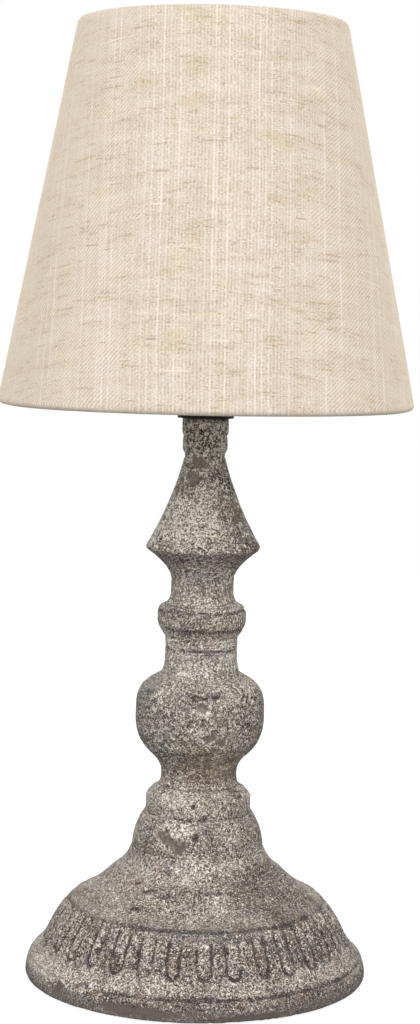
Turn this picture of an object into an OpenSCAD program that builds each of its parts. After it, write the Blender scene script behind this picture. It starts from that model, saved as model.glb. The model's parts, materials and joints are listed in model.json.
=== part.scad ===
// Bedside lamp: a turned column on a bell foot, with a tapered cloth shade on a screw holder.
// Millimetres. The axis of the lamp is Z, the floor is Z = 0, and the cord entry is on +Y.

/* [Foot] */
// How far the felt stands out below the rim
felt_proud = 0.4; // [0.2:0.1:1.2]
// Radius of the rim at its widest
rim_r = 81.4; // [76:0.2:90]
// How far the rim's turned corner reaches inward
rim_turn_w = 1.2; // [0.4:0.1:3]
// Height over which the rim turns under
rim_turn_h = 2.4; // [1:0.1:4]
// How far the upright lip leans inward
lip_in = 2.2; // [0.4:0.1:4]
// Height of the upright lip
lip_h = 10.1; // [9.8:0.1:14]
// Swell of the upright lip
lip_swell = 0.35; // [0:0.05:1]
// Width of the sloping rim above the lip
ledge_w = 7; // [4.5:0.1:9.5]
// Height of the sloping rim above the lip
rim_h = 7.5; // [5:0.1:10]
// Hollow of the sloping rim
rim_hollow = 0.4; // [0:0.1:1]
// How far the patterned band leans inward
band_in = 11.8; // [8:0.1:17]
// Height of the patterned band
band_h = 18.8; // [16:0.1:24]
// Swell of the patterned band
band_swell = 0.85; // [0:0.05:1.2]
// Radius of the soft shoulder of the bell
shoulder_r = 41.3; // [38:0.1:46]
// Height of the bell from the band to the shoulder
shoulder_h = 13.4; // [11:0.1:18]
// Hollow of the bell below the shoulder
bell_low_hollow = 1.3; // [0:0.1:2]
// Radius at the top of the bell
bell_top_r = 31.5; // [30:0.1:35]
// Height of the bell above the shoulder
bell_h = 12; // [9:0.1:18]
// Hollow of the bell above the shoulder
bell_high_hollow = 1.5; // [0:0.1:2]
// Wall of the foot
foot_wall = 2.2; // [1.8:0.1:3]
// Radius of the round line cut above and below the sloping parts
line_cut_r = 0.6; // [0.3:0.1:1]

/* [Tongue pattern] */
// How many tongues go round the foot
tongue_count = 32; // [20:1:36]
// Width of a tongue between its grooves
tongue_w = 4.7; // [3:0.1:5.5]
// Width of a groove
groove_w = 1.5; // [0.8:0.1:1.8]
// Depth of a groove
groove_d = 0.9; // [0.4:0.1:1.2]
// Plain strip above the tongues, along the slope
tongue_top_gap = 5.8; // [2:0.1:7]
// Plain strip below the tongues, along the slope
tongue_low_gap = 0.3; // [0.2:0.1:3]
// Turn of the first tongue from the front, in degrees
tongue_turn = 3.5; // [0:0.1:10]

/* [Column] */
// Wall of the turned pieces
wall = 1.6; // [1.2:0.1:2]
// Height of the upright edge at the foot of the vase and of the spire
foot_edge_h = 0.5; // [0.3:0.1:1]
// Radius at the foot of the bulged step
step_low_r = 31.3; // [29:0.1:31.5]
// Radius at the top of the bulged step
step_top_r = 25.7; // [25:0.1:28]
// Height of the bulged step
step_h = 16.8; // [12:0.1:22]
// Swell of the bulged step
step_swell = 1.25; // [0.5:0.05:2]
// Radius of the bead above the step
bead_r = 25; // [23:0.1:25.6]
// Height of the bead's upright side
bead_side_h = 7.8; // [4:0.1:10]
// Height of the bead's sloping top
bead_slope_h = 5; // [4:0.1:8]
// Swell of the bead's sloping top
bead_swell = 0.5; // [0:0.1:1]
// Radius at the top of the bead
bead_top_r = 19.4; // [19.2:0.1:21]
// Radius at the foot of the vase
vase_foot_r = 19.2; // [18:0.1:19.2]
// Radius of the waist under the vase
vase_waist_r = 17.9; // [15:0.1:18]
// Height of the hollow below the waist
vase_low_cove_h = 6; // [4:0.1:9]
// Radius where the hollow meets the belly
belly_low_r = 21.4; // [19.5:0.1:24]
// Height of the hollow above the waist
vase_high_cove_h = 7.8; // [5:0.1:12]
// Radius of the belly
belly_r = 30.6; // [27:0.1:36]
// Height of the belly below its widest
belly_low_h = 19.6; // [15:0.1:26]
// Height of the belly above its widest
belly_high_h = 19.4; // [15:0.1:26]
// Radius at the top of the belly
belly_top_r = 20.8; // [18.5:0.1:23]
// Height of the hollow over the belly
vase_neck_cove_h = 7.9; // [5:0.1:12]
// Radius of the neck of the vase
vase_neck_r = 17.2; // [15:0.1:18.4]
// Height of the plain neck up to the joint line
vase_neck_h = 3.5; // [2:0.1:8]
// Height of the plain neck above the joint line
spool_plain_h = 7.4; // [5:0.1:12]
// Radius of the ring on the neck
ring_r = 21; // [19:0.1:24]
// Height of the ring's round lower side
ring_low_h = 7.2; // [4:0.1:9]
// Height of the ring's upright side
ring_side_h = 4.2; // [3:0.1:8]
// Height of the ring's round upper side
ring_high_h = 3.4; // [2:0.1:5]
// Radius at the top of the ring
ring_top_r = 18.4; // [18:0.1:20]

/* [Spire] */
// Radius at the foot of the spire
spire_foot_r = 18; // [16.5:0.1:18]
// Radius of the spire's waist
spire_waist_r = 14.8; // [12:0.1:16]
// Height of the hollow below the waist
spire_low_cove_h = 6.6; // [4:0.1:10]
// Height of the plain waist
spire_waist_h = 5.6; // [3:0.1:9]
// Height of the flare up to the cone's edge
flare_h = 14.4; // [10:0.1:20]
// Radius of the cone's edge
cone_r = 27; // [23:0.1:32]
// Height of the cone's rounded edge
cone_edge_h = 1.2; // [0.6:0.1:2]
// Height of the cone
cone_h = 42.3; // [34:0.1:55]
// Radius at the top of the cone
cone_top_r = 9.5; // [9:0.1:11]
// Hollow of the cone's side
cone_hollow = 1.6; // [0:0.1:2.4]

/* [Neck] */
// Height of the plain stretch under the neck's lower bead
neck_plain_h = 2; // [1:0.1:4]
// Radius of the neck's lower bead
neck_bead_r = 10.6; // [10.2:0.1:12]
// Height of the neck's lower bead
neck_bead_h = 8; // [5:0.1:12]
// Radius of the groove between the beads
neck_groove_r = 9.9; // [9.4:0.1:10.1]
// Radius of the neck's top collar
neck_collar_r = 10.95; // [10.4:0.05:12.5]
// Height of the neck's top collar
neck_collar_h = 8.2; // [5:0.1:12]
// Radius of the hollow inside the neck
neck_bore_r = 7.6; // [6.5:0.1:8.2]

/* [Rod and nuts] */
// Radius of the threaded rod
rod_r = 5; // [4.5:0.1:5.5]
// Radius of the bore through the rod
rod_bore_r = 3.5; // [3:0.1:3.8]
// Clearance round the rod
rod_gap = 0.2; // [0.1:0.05:0.4]
// Length of rod inside the holder
rod_in_holder = 8.5; // [6:0.1:10]
// Length of rod below the nut
rod_spare = 2.5; // [1:0.1:5]
// Width of the nut across its flats
nut_af = 17; // [15:0.1:19]
// Height of the nut
nut_h = 5; // [4:0.1:6]
// Radius of the plain washer
washer_r = 12; // [10:0.1:15]
// Thickness of the plain washer
washer_t = 1.5; // [1:0.1:2.5]
// Thickness of the spring washer
spring_washer_t = 2; // [1.5:0.1:2.5]
// Gap of the split in the spring washer
spring_washer_split = 1.6; // [1:0.1:2.5]

/* [Underside] */
// Height of the iron weight
weight_h = 8; // [6:0.1:10]
// How far the weight's top lies below the band's top
weight_drop = 3.2; // [3:0.1:5]
// Clearance round the weight
weight_gap = 0.2; // [0.1:0.05:0.5]
// Width of the rim's turned edge, seen from below
curl_w = 6; // [5:0.1:9.5]
// How far the closing plate reaches over the turned edge
plate_lap = 1.6; // [1:0.1:1.8]
// Thickness of the closing plate
plate_t = 1; // [0.6:0.1:1.4]
// Clearance round the felt
felt_gap = 0.4; // [0.2:0.1:1]

/* [Cord entry] */
// Radius of the hole for the cord
entry_r = 2.7; // [2.4:0.05:2.8]
// Wall of the bush in the foot
bush_wall = 0.8; // [0.6:0.05:0.9]
// How far the bush's flanges reach past its sleeve
bush_flange = 0.9; // [0.5:0.05:1]
// Thickness of the bush's flanges
bush_flange_t = 1.2; // [0.8:0.1:1.4]
// Height of the bush above the closing plate
bush_rise = 3.7; // [3.6:0.1:4]

/* [Lamp holder] */
// Radius of the holder's bottom flange
cap_flange_r = 13.3; // [12.8:0.1:15]
// Thickness of the holder's bottom flange
cap_flange_t = 2.2; // [1.5:0.1:3]
// Radius of the holder's cap
cap_r = 12.7; // [12.5:0.1:13.3]
// Height of the holder's cap
cap_h = 14; // [13:0.1:18]
// Thickness of the cap's floor
cap_floor = 4.2; // [4:0.1:5]
// Radius of the wiring space in the cap
wiring_r = 8.8; // [8:0.1:9.2]
// Grip ribs round the cap
rib_count = 24; // [12:1:30]
// Depth of the gaps between the ribs
rib_d = 0.5; // [0.2:0.1:0.7]
// Height of the shoulder that carries the shade
shoulder_t = 2; // [1.5:0.1:3]
// Radius of the shoulder that carries the shade
seat_r = 16.5; // [15.5:0.1:17]
// Radius of the holder's threaded shell
shell_r = 14; // [13.6:0.1:14.4]
// Height of the holder's threaded shell above the shoulder
shell_h = 25; // [22:0.1:30]
// Wall of the holder's shell
shell_wall = 2; // [1.6:0.1:2.2]
// Pitch of the thread on the shell
shell_pitch = 2.5; // [2:0.1:3]
// Depth of the thread on the shell
shell_thread_d = 0.6; // [0.3:0.1:0.8]
// Radius of the holder's mouth
mouth_r = 10.2; // [9.5:0.1:11]
// Height of the terminal block
block_h = 8; // [7:0.1:10]
// Clearance between the holder's plastic pieces
holder_gap = 0.2; // [0.1:0.05:0.3]
// Wall of the cap's spigot inside the shell
spigot_wall = 1.3; // [1:0.1:1.4]
// Height of the cap's spigot inside the shell
spigot_h = 5; // [3:0.1:6]
// Distance of the terminals from the axis
terminal_x = 6.4; // [6:0.1:6.6]
// Side of a terminal
terminal_w = 4.6; // [4:0.1:5]
// Height of a terminal
terminal_h = 4; // [3:0.1:5]
// Radius of the terminal screws
screw_r = 1.25; // [1:0.05:1.4]
// Radius of the terminal screws' heads
screw_head_r = 2; // [1.8:0.05:2.2]
// Height of the terminal screws' heads
screw_head_h = 1.4; // [1:0.1:1.8]
// Radius of the grub screw that locks the cap on the rod
grub_r = 1.5; // [1.2:0.05:1.6]
// Radius of the brass screw shell at its crests, inside
socket_r = 7.1; // [7.05:0.05:7.3]
// Depth of the round thread of bulb and socket
thread_d = 0.5; // [0.3:0.05:0.6]
// Pitch of the thread of bulb and socket
thread_pitch = 2.82; // [2.5:0.02:3]
// Turns of the socket's thread
socket_turns = 6; // [5:1:7]
// Thickness of the brass sheet
brass_t = 0.4; // [0.3:0.05:0.6]
// Radius of the screw shell's bottom flange
socket_flange_r = 9.4; // [8.6:0.1:9.8]
// Radius of the centre contact's round button
contact_r = 2; // [1.6:0.1:2.4]
// Height of the centre contact's button above its strip
contact_h = 3; // [2.5:0.1:3.5]
// Length of the centre contact's strip
contact_l = 7.4; // [6:0.1:8]
// Width of the centre contact's strip
contact_w = 3.6; // [3:0.1:4]
// Thickness of the centre contact's strip
contact_t = 0.6; // [0.4:0.05:0.8]
// Free depth under the centre contact
contact_travel = 1.4; // [1:0.1:2]

/* [Shade ring] */
// Height of the ring that clamps the shade
lock_h = 6; // [5:0.1:9]
// Radius of the ring that clamps the shade
lock_r = 17.4; // [16.5:0.1:18]
// Finger lobes round the ring
lock_lobes = 12; // [8:1:16]
// Radius of a finger lobe
lobe_r = 1.3; // [0.8:0.1:1.6]
// Clearance between the holder's thread and what turns on it
turn_gap = 0.3; // [0.2:0.05:0.4]

/* [Shade] */
// Radius of the shade at its lower edge
shade_low_r = 98; // [85:0.5:120]
// Radius of the shade at its upper edge
shade_top_r = 62.4; // [50:0.2:80]
// Height of the shade
shade_h = 177.5; // [150:0.1:220]
// How far the lower edge hangs below the holder's shoulder
shade_hang = 10; // [6:0.1:12]
// Thickness of the cloth cover
cover_t = 0.8; // [0.5:0.05:1.2]
// Thickness of the stiff lining
lining_t = 0.5; // [0.3:0.05:0.8]
// Radius of the shade's wires
wire_r = 1.5; // [1.2:0.05:2]
// Clearance round the wires in the hems
wire_gap = 0.1; // [0.05:0.05:0.2]
// Height of the hems turned in over the wires
hem_h = 7; // [5.5:0.1:12]
// Radius of the hems' rounded outer corner
hem_round = 1.6; // [0.8:0.1:2]
// Arms from the lower wire to the holder
arm_count = 3; // [3:1:4]
// Outer radius of the shade's centre plate
hub_r = 21; // [20.5:0.1:24]
// Thickness of the shade's centre plate
hub_t = 1.4; // [1:0.1:1.8]
// How far an arm is let into the centre plate
arm_lap = 1.4; // [0.8:0.1:1.6]

/* [Bulb] */
// Radius of the bulb's globe
globe_r = 22.5; // [20:0.5:25]
// Length of the bulb from its tip to the top of the glass
bulb_l = 78; // [74:0.5:82]
// Thickness of the glass
glass_t = 0.8; // [0.6:0.05:1.2]
// Clearance between bulb and socket at the crests
cap_gap = 0.35; // [0.3:0.05:0.4]
// Turns of the bulb's thread
cap_turns = 5; // [4:1:5]
// Height of the bulb's insulator
insulator_h = 3; // [2.5:0.1:3.5]
// Height of the bulb's solder tip
tip_h = 1.2; // [0.8:0.1:1.6]
// Radius of the bulb's solder tip
tip_r = 2.4; // [2:0.1:3]
// Gap between the bulb's tip and the centre contact
tip_gap = 0.2; // [0.1:0.05:0.4]
// Radius of the glass where it meets the metal cap
glass_neck_r = 6.8; // [6.4:0.1:7]
// Height over which the glass neck opens towards the globe, from the cap
glass_neck_h = 10; // [8:0.5:14]
// Radius of the stem inside the bulb
stem_r = 3; // [2.4:0.1:3.6]
// Height of the stem inside the bulb
stem_h = 24; // [20:0.5:28]
// Radius of the filament's ring
filament_ring_r = 8; // [6:0.5:10]
// Radius of the filament's wire
filament_r = 0.4; // [0.3:0.05:0.6]

/* [Hidden] */

$fn = 72;
// Straight steps in a gentle curve, in a tight one, and in a small one
curve_steps = 8;
turn_steps = 6;
small_steps = 4;
// How far a cut runs past the surface that it opens
overrun = 1;
// Points closer together than this are one point
least_step = 0.001;

// Radii of the foot, inward from its rim
rim_foot_r = rim_r - rim_turn_w;
curl_r = rim_r - curl_w;
lip_r = rim_r - lip_in;
band_low_r = lip_r - ledge_w;
band_top_r = band_low_r - band_in;

// Heights of the foot
foot_z = felt_proud;
lip_z = foot_z + lip_h;
band_low_z = lip_z + rim_h;
band_top_z = band_low_z + band_h;
shoulder_z = band_top_z + shoulder_h;
foot_top_z = shoulder_z + bell_h;

// Heights of the column
step_top_z = foot_top_z + step_h;
bead_top_z = step_top_z + bead_side_h + bead_slope_h;
waist_z = bead_top_z + vase_low_cove_h;
belly_low_z = waist_z + vase_high_cove_h;
belly_z = belly_low_z + belly_low_h;
belly_top_z = belly_z + belly_high_h;
vase_top_z = belly_top_z + vase_neck_cove_h + vase_neck_h;
ring_low_z = vase_top_z + spool_plain_h;
ring_high_z = ring_low_z + ring_low_h + ring_side_h;
spool_top_z = ring_high_z + ring_high_h;
spire_waist_z = spool_top_z + spire_low_cove_h;
flare_z = spire_waist_z + spire_waist_h;
cone_edge_z = flare_z + flare_h;
spire_top_z = cone_edge_z + cone_edge_h + cone_h;
neck_groove_z = spire_top_z + neck_plain_h + neck_bead_h;
neck_top_z = neck_groove_z + neck_collar_h;
rod_hole_r = rod_r + rod_gap;

// Heights inside the foot
plate_z = foot_z + foot_wall;
weight_top_z = band_top_z - weight_drop;
weight_z = weight_top_z - weight_h;
washer_z = weight_z - washer_t;
spring_washer_z = washer_z - spring_washer_t;
nut_z = spring_washer_z - nut_h;
rod_z = nut_z - rod_spare;
bush_z = plate_z + plate_t + bush_rise;
bush_r = entry_r + bush_wall;

// Heights of the holder
cap_top_z = neck_top_z + cap_h;
seat_z = cap_top_z + shoulder_t;
shell_top_z = seat_z + shell_h;
rod_top_z = neck_top_z + rod_in_holder;
shell_bore_r = shell_r - shell_wall;
spigot_r = shell_bore_r - holder_gap;
block_bore_r = spigot_r - spigot_wall;
block_r = block_bore_r - holder_gap;
block_top_z = cap_top_z + spigot_h;
block_z = block_top_z - block_h;
contact_z = block_top_z - contact_t;
pocket_z = contact_z - contact_travel;
contact_top_z = contact_z + contact_t + contact_h;
socket_z = block_top_z + brass_t;
socket_h = socket_turns * thread_pitch;
grub_z = neck_top_z + cap_floor / 2;

// Heights of the shade and its ring
lock_z = seat_z + hub_t;
shade_z = seat_z - shade_hang;
shade_top_z = shade_z + shade_h;
hub_bore_r = shell_r + turn_gap;

// Heights of the bulb
tip_z = contact_top_z + tip_gap;
insulator_z = tip_z + tip_h;
cap_z = insulator_z + insulator_h;
cap_thread_r = socket_r - cap_gap;
cap_root_r = cap_thread_r - thread_d;
cap_thread_top_z = cap_z + cap_turns * thread_pitch;
glass_z = max(cap_thread_top_z + thread_pitch, shell_top_z + cap_gap);
globe_z = tip_z + bulb_l - globe_r;

// Curves of a side, each a list of [radius, height]
function steps(n) = [for (i = [0:n]) i / n];
function unit(v) = v / norm(v);
function inward(a, b) = [-(b - a).y, (b - a).x] / norm(b - a);
function bow(a, b, swell, n = curve_steps) =
    [for (f = steps(n)) a + (b - a) * f - inward(a, b) * swell * 4 * f * (1 - f)];
// Leaves a upright and turns away to b
function from_upright(a, b, power, n = curve_steps) =
    [for (f = steps(n)) [a.x + (b.x - a.x) * pow(f, power), a.y + (b.y - a.y) * f]];
// Turns in from a and arrives at b upright
function to_upright(a, b, power, n = curve_steps) =
    [for (f = steps(n)) [b.x - (b.x - a.x) * pow(1 - f, power), a.y + (b.y - a.y) * f]];
// Quarter turns: level at a and upright at b, or the other way
function level_to_upright(a, b, n = turn_steps) =
    [for (f = steps(n)) [a.x + (b.x - a.x) * sin(90 * f), a.y + (b.y - a.y) * (1 - cos(90 * f))]];
function upright_to_level(a, b, n = turn_steps) =
    [for (f = steps(n)) [a.x + (b.x - a.x) * (1 - cos(90 * f)), a.y + (b.y - a.y) * sin(90 * f)]];
function flat(lists) = [for (list = lists) for (p = list) p];
function line_of(lists) =
    let (all = flat(lists))
    [for (i = [0:len(all) - 1]) if (i == 0 || norm(all[i] - all[max(i, 1) - 1]) > least_step) all[i]];
function backwards(line) = [for (i = [len(line) - 1:-1:0]) line[i]];
// The same line moved inward by a wall, with mitred corners
function inset_point(line, i, t) =
    let (last = len(line) - 1)
    let (before = inward(line[max(i, 1) - 1], line[max(i, 1)]))
    let (after = inward(line[min(i, last - 1)], line[min(i, last - 1) + 1]))
    let (middle = unit(before + after))
    line[i] + middle * t / (middle * before);
// Whether a stretch of the line is too short to be left when the line has moved
function is_lost(line, moved, i) =
    i >= 0 && i < len(line) - 1 && (line[i + 1] - line[i]) * (moved[i + 1] - moved[i]) < 0;
function inset(line, t) =
    let (moved = [for (i = [0:len(line) - 1]) inset_point(line, i, t)])
    [for (i = [0:len(line) - 1]) if (!is_lost(line, moved, i - 1))
        is_lost(line, moved, i) ? (moved[i] + moved[i + 1]) / 2 : moved[i]];
// Radius of a line at a height
function radius_at(line, z) = lookup(z, [for (p = line) [p.y, p.x]]);

// Outlines of the turned pieces, from the bottom up
rim_side_line = line_of([
    bow([rim_r, foot_z + rim_turn_h], [lip_r, lip_z], lip_swell, small_steps),
    bow([lip_r, lip_z], [band_low_r, band_low_z], -rim_hollow, small_steps)
]);
rim_line = line_of([
    [[curl_r, foot_z]],
    level_to_upright([rim_foot_r, foot_z], [rim_r, foot_z + rim_turn_h], small_steps),
    rim_side_line
]);
band_line = bow([band_low_r, band_low_z], [band_top_r, band_top_z], band_swell, small_steps);
bell_line = line_of([
    bow([band_top_r, band_top_z], [shoulder_r, shoulder_z], -bell_low_hollow, turn_steps),
    bow([shoulder_r, shoulder_z], [bell_top_r, foot_top_z], -bell_high_hollow, turn_steps),
    [[rod_hole_r, foot_top_z]]
]);
foot_line = line_of([rim_line, band_line, bell_line]);
// Inside the foot the corner of the rim is square
foot_inner_line = inset(line_of([
    [[curl_r, foot_z], [rim_r, foot_z]], rim_side_line, band_line, bell_line
]), foot_wall);
step_line = line_of([
    bow([step_low_r, foot_top_z], [step_top_r, step_top_z], step_swell),
    [[rod_hole_r, step_top_z]]
]);
bead_line = line_of([
    [[bead_r, step_top_z]],
    bow([bead_r, step_top_z + bead_side_h], [bead_top_r, bead_top_z], bead_swell, small_steps),
    [[rod_hole_r, bead_top_z]]
]);
vase_line = line_of([
    level_to_upright([vase_foot_r, bead_top_z + foot_edge_h], [vase_waist_r, waist_z], small_steps),
    from_upright([vase_waist_r, waist_z], [belly_low_r, belly_low_z], 2, small_steps),
    to_upright([belly_low_r, belly_low_z], [belly_r, belly_z], 2.6),
    from_upright([belly_r, belly_z], [belly_top_r, belly_top_z], 4),
    level_to_upright([belly_top_r, belly_top_z], [vase_neck_r, vase_top_z - vase_neck_h]),
    [[vase_neck_r, vase_top_z], [rod_hole_r, vase_top_z]]
]);
spool_line = line_of([
    [[vase_neck_r, vase_top_z], [vase_neck_r, ring_low_z]],
    to_upright([vase_neck_r + wall / 4, ring_low_z], [ring_r, ring_low_z + ring_low_h], 1.5),
    upright_to_level([ring_r, ring_high_z], [ring_top_r, spool_top_z]),
    [[rod_hole_r, spool_top_z]]
]);
spire_line = line_of([
    level_to_upright([spire_foot_r, spool_top_z + foot_edge_h], [spire_waist_r, spire_waist_z]),
    from_upright([spire_waist_r, flare_z], [cone_r, cone_edge_z], 1.7),
    bow([cone_r, cone_edge_z + cone_edge_h], [cone_top_r, spire_top_z], -cone_hollow),
    [[rod_hole_r, spire_top_z]]
]);
neck_bead_z = spire_top_z + neck_plain_h;
neck_line = line_of([
    [[cone_top_r, spire_top_z]],
    level_to_upright([cone_top_r, neck_bead_z], [neck_bead_r, neck_bead_z + neck_bead_h / 3], small_steps),
    upright_to_level([neck_bead_r, neck_groove_z - neck_bead_h / 3], [neck_groove_r, neck_groove_z],
        small_steps),
    level_to_upright([neck_groove_r, neck_groove_z], [neck_collar_r, neck_groove_z + neck_collar_h / 4],
        small_steps),
    upright_to_level([neck_collar_r, neck_top_z - neck_collar_h / 8],
        [neck_collar_r - neck_collar_h / 16, neck_top_z], small_steps)
]);

// A hollow turned piece: an outline and the same outline inside its wall
module hollow(line, t) {
    rotate_extrude() polygon(concat(line, backwards(inset(line, t))));
}

// A hollow turned piece, trimmed level where it stands
module trimmed(line, t, z) {
    difference() {
        hollow(line, t);
        translate([0, 0, z - t - overrun]) cylinder(h = t + overrun, r = line[0].x + overrun);
    }
}

// A solid turned piece: everything inside an outline
module turned(line) {
    rotate_extrude() polygon(line_of([[[0, line[0].y]], line, [[0, line[len(line) - 1].y]]]));
}

// A plain ring on the axis
module ring(outer, inner, z, h) {
    translate([0, 0, z]) difference() {
        cylinder(h = h, r = outer);
        translate([0, 0, -overrun]) cylinder(h = h + 2 * overrun, r = inner);
    }
}

module around(count) {
    for (i = [0:count - 1]) rotate([0, 0, 360 * i / count]) children();
}

module felt_pad() color("#2b2b2b") cylinder(h = plate_z, r = curl_r - felt_gap);

module closing_plate() color("#77736e") {
    translate([0, 0, plate_z]) cylinder(h = plate_t, r = curl_r + plate_lap);
}

// The band's slope, seen from the side, and the frame that lies on it
band_run = [band_top_r - band_low_r, band_top_z - band_low_z];
band_lean = atan2(band_run.y, -band_run.x);
band_l = norm(band_run);

// One U-shaped groove round one tongue, drawn flat, with its foot at the origin
module tongue_groove() {
    outer = tongue_w / 2 + groove_w;
    top = band_l - tongue_top_gap - tongue_low_gap - outer;
    translate([0, outer]) difference() {
        union() {
            circle(r = outer);
            translate([-outer, 0]) square([2 * outer, top]);
        }
        circle(r = tongue_w / 2);
        translate([-tongue_w / 2, 0]) square([tongue_w, top + overrun]);
    }
}

module tongue_grooves() {
    rotate([0, 0, tongue_turn]) around(tongue_count)
        translate([0, -band_low_r, band_low_z]) rotate([band_lean, 0, 0])
            translate([0, tongue_low_gap, -2 * groove_d])
                linear_extrude(2 * (groove_d + foot_wall)) tongue_groove();
}

// A thin skin of the band, as deep as the grooves
module band_skin() {
    rotate_extrude() polygon(concat(
        inset(band_line, -overrun), backwards(inset(band_line, groove_d))
    ));
}

module line_cut(r, z) {
    rotate_extrude() translate([r, z]) circle(r = line_cut_r, $fn = 24);
}

module bush_place() {
    translate([0, 0, bush_z]) rotate([-90, 0, 0]) children();
}

module foot_body() {
    rotate_extrude() polygon(concat(foot_line, backwards(foot_inner_line)));
}

module foot_shell() color("#8a8177") difference() {
    foot_body();
    intersection() {
        tongue_grooves();
        band_skin();
    }
    line_cut(band_top_r, band_top_z);
    line_cut(lip_r, lip_z);
    bush_place() cylinder(h = rim_r + overrun, r = bush_r);
}

// Rubber bush in the back of the foot: a sleeve through the wall with a flange on each side
bush_seat_r = radius_at(rim_line, bush_z);
module cord_bush() color("#1e1e1e") difference() {
    union() {
        intersection() {
            bush_place() translate([0, 0, bush_seat_r - foot_wall - bush_flange_t])
                cylinder(h = bush_flange_t, r = bush_r + bush_flange);
            turned(inset(foot_line, foot_wall / 2));
        }
        bush_place() {
            translate([0, 0, bush_seat_r - foot_wall - bush_flange_t])
                cylinder(h = foot_wall + 2 * bush_flange_t + rim_r - bush_seat_r, r = bush_r);
            translate([0, 0, bush_seat_r])
                cylinder(h = bush_flange_t + rim_r - bush_seat_r, r = bush_r + bush_flange);
        }
    }
    bush_place() cylinder(h = rim_r + bush_flange_t + overrun, r = entry_r);
    difference() {
        foot_body();
        bush_place() cylinder(h = rim_r + overrun, r = bush_r);
    }
}

module iron_weight() color("#4a4a4a") rotate_extrude() polygon([
    [rod_hole_r, weight_z],
    [radius_at(foot_inner_line, weight_z) - weight_gap, weight_z],
    [radius_at(foot_inner_line, weight_top_z) - weight_gap, weight_top_z],
    [rod_hole_r, weight_top_z]
]);

module plain_washer() color("#b9b9b4") ring(washer_r, rod_hole_r, washer_z, washer_t);

module spring_washer() color("#8f8f8c") difference() {
    ring(nut_af / 2, rod_hole_r, spring_washer_z, spring_washer_t);
    translate([0, -spring_washer_split / 2, spring_washer_z - overrun])
        cube([nut_af, spring_washer_split, spring_washer_t + 2 * overrun]);
}

module rod_nut() color("#c2b280") translate([0, 0, nut_z]) difference() {
    cylinder(h = nut_h, r = nut_af / 2 / cos(30), $fn = 6);
    translate([0, 0, -overrun]) cylinder(h = nut_h + 2 * overrun, r = rod_r);
}

module threaded_rod() color("#b5a97e") ring(rod_r, rod_bore_r, rod_z, rod_top_z - rod_z);

module step_collar() color("#8a8177") trimmed(step_line, wall, foot_top_z);

module bead_collar() color("#8d857a") hollow(bead_line, wall);

module vase() color("#8a8177") trimmed(vase_line, wall, bead_top_z);

module ring_spool() color("#8d857a") hollow(spool_line, wall);

module cone_spire() color("#8a8177") trimmed(spire_line, wall, spool_top_z);

module neck_piece() color("#8d857a") difference() {
    turned(neck_line);
    translate([0, 0, spire_top_z - overrun])
        cylinder(h = neck_top_z - wall - spire_top_z + overrun, r = neck_bore_r);
    translate([0, 0, spire_top_z]) cylinder(h = neck_top_z - spire_top_z + overrun, r = rod_hole_r);
}

module grub_place() {
    translate([0, 0, grub_z]) rotate([-90, 0, 0]) children();
}

module holder_cap() color("#161616") difference() {
    union() {
        translate([0, 0, neck_top_z]) cylinder(h = cap_flange_t, r = cap_flange_r);
        translate([0, 0, neck_top_z]) cylinder(h = cap_h, r = cap_r);
        translate([0, 0, neck_top_z]) cylinder(h = block_top_z - neck_top_z, r = spigot_r);
    }
    translate([0, 0, neck_top_z - overrun]) cylinder(h = cap_h, r = rod_r);
    translate([0, 0, neck_top_z + cap_floor]) cylinder(h = cap_h, r = wiring_r);
    translate([0, 0, block_z]) cylinder(h = block_h + overrun, r = block_bore_r);
    around(rib_count) translate([cap_r, 0, neck_top_z + cap_flange_t])
        cylinder(h = cap_h, r = rib_d, $fn = 16);
    grub_place() cylinder(h = cap_flange_r + overrun, r = grub_r);
}

module cap_grub_screw() color("#9a9a98") grub_place() difference() {
    translate([0, 0, rod_r]) cylinder(h = cap_r - rod_r, r = grub_r);
    translate([-grub_r - overrun, -grub_r / 4, cap_r - grub_r / 2])
        cube([2 * (grub_r + overrun), grub_r / 2, grub_r]);
}

// Both terminals, one on each side of the axis
module at_terminals() {
    for (side = [-1, 1]) translate([side * terminal_x, 0, block_z]) children();
}

module terminal_block() color("#e8e4da") difference() {
    translate([0, 0, block_z]) cylinder(h = block_h, r = block_r);
    translate([0, 0, pocket_z])
        cylinder(h = block_h, r = norm([contact_l, contact_w]) / 2 + turn_gap);
    at_terminals() translate([-terminal_w / 2, -terminal_w / 2, -overrun])
        cube([terminal_w, terminal_w, terminal_h + overrun]);
}

module terminals() color("#c9a84c") at_terminals() difference() {
    translate([-terminal_w / 2 + holder_gap, -terminal_w / 2 + holder_gap, 0])
        cube([terminal_w - 2 * holder_gap, terminal_w - 2 * holder_gap, terminal_h]);
    translate([0, 0, -overrun]) cylinder(h = terminal_h + 2 * overrun, r = screw_r);
}

module terminal_screws() color("#a8a8a4") at_terminals() difference() {
    union() {
        translate([0, 0, -screw_head_h]) cylinder(h = screw_head_h, r = screw_head_r);
        cylinder(h = terminal_h, r = screw_r);
    }
    translate([-screw_head_r - overrun, -screw_r / 4, -screw_head_h - overrun])
        cube([2 * (screw_head_r + overrun), screw_r / 2, screw_head_h / 2 + overrun]);
}

// Side of a round thread, as rings of one pitch each, from the bottom up
function thread_line(z, root, crest, turns) = line_of([
    for (i = [0:turns - 1]) [
        for (f = steps(2 * small_steps))
            [(root + crest) / 2 + (crest - root) / 2 * cos(360 * f), z + (i + f) * thread_pitch]
    ]
]);

module screw_shell() color("#c9a84c") {
    line = thread_line(socket_z, socket_r + thread_d, socket_r, socket_turns);
    rotate_extrude() polygon(concat(line, backwards(
        [for (p = line) p + [brass_t, 0]]
    )));
    ring(socket_flange_r, socket_r, block_top_z, brass_t);
}

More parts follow.
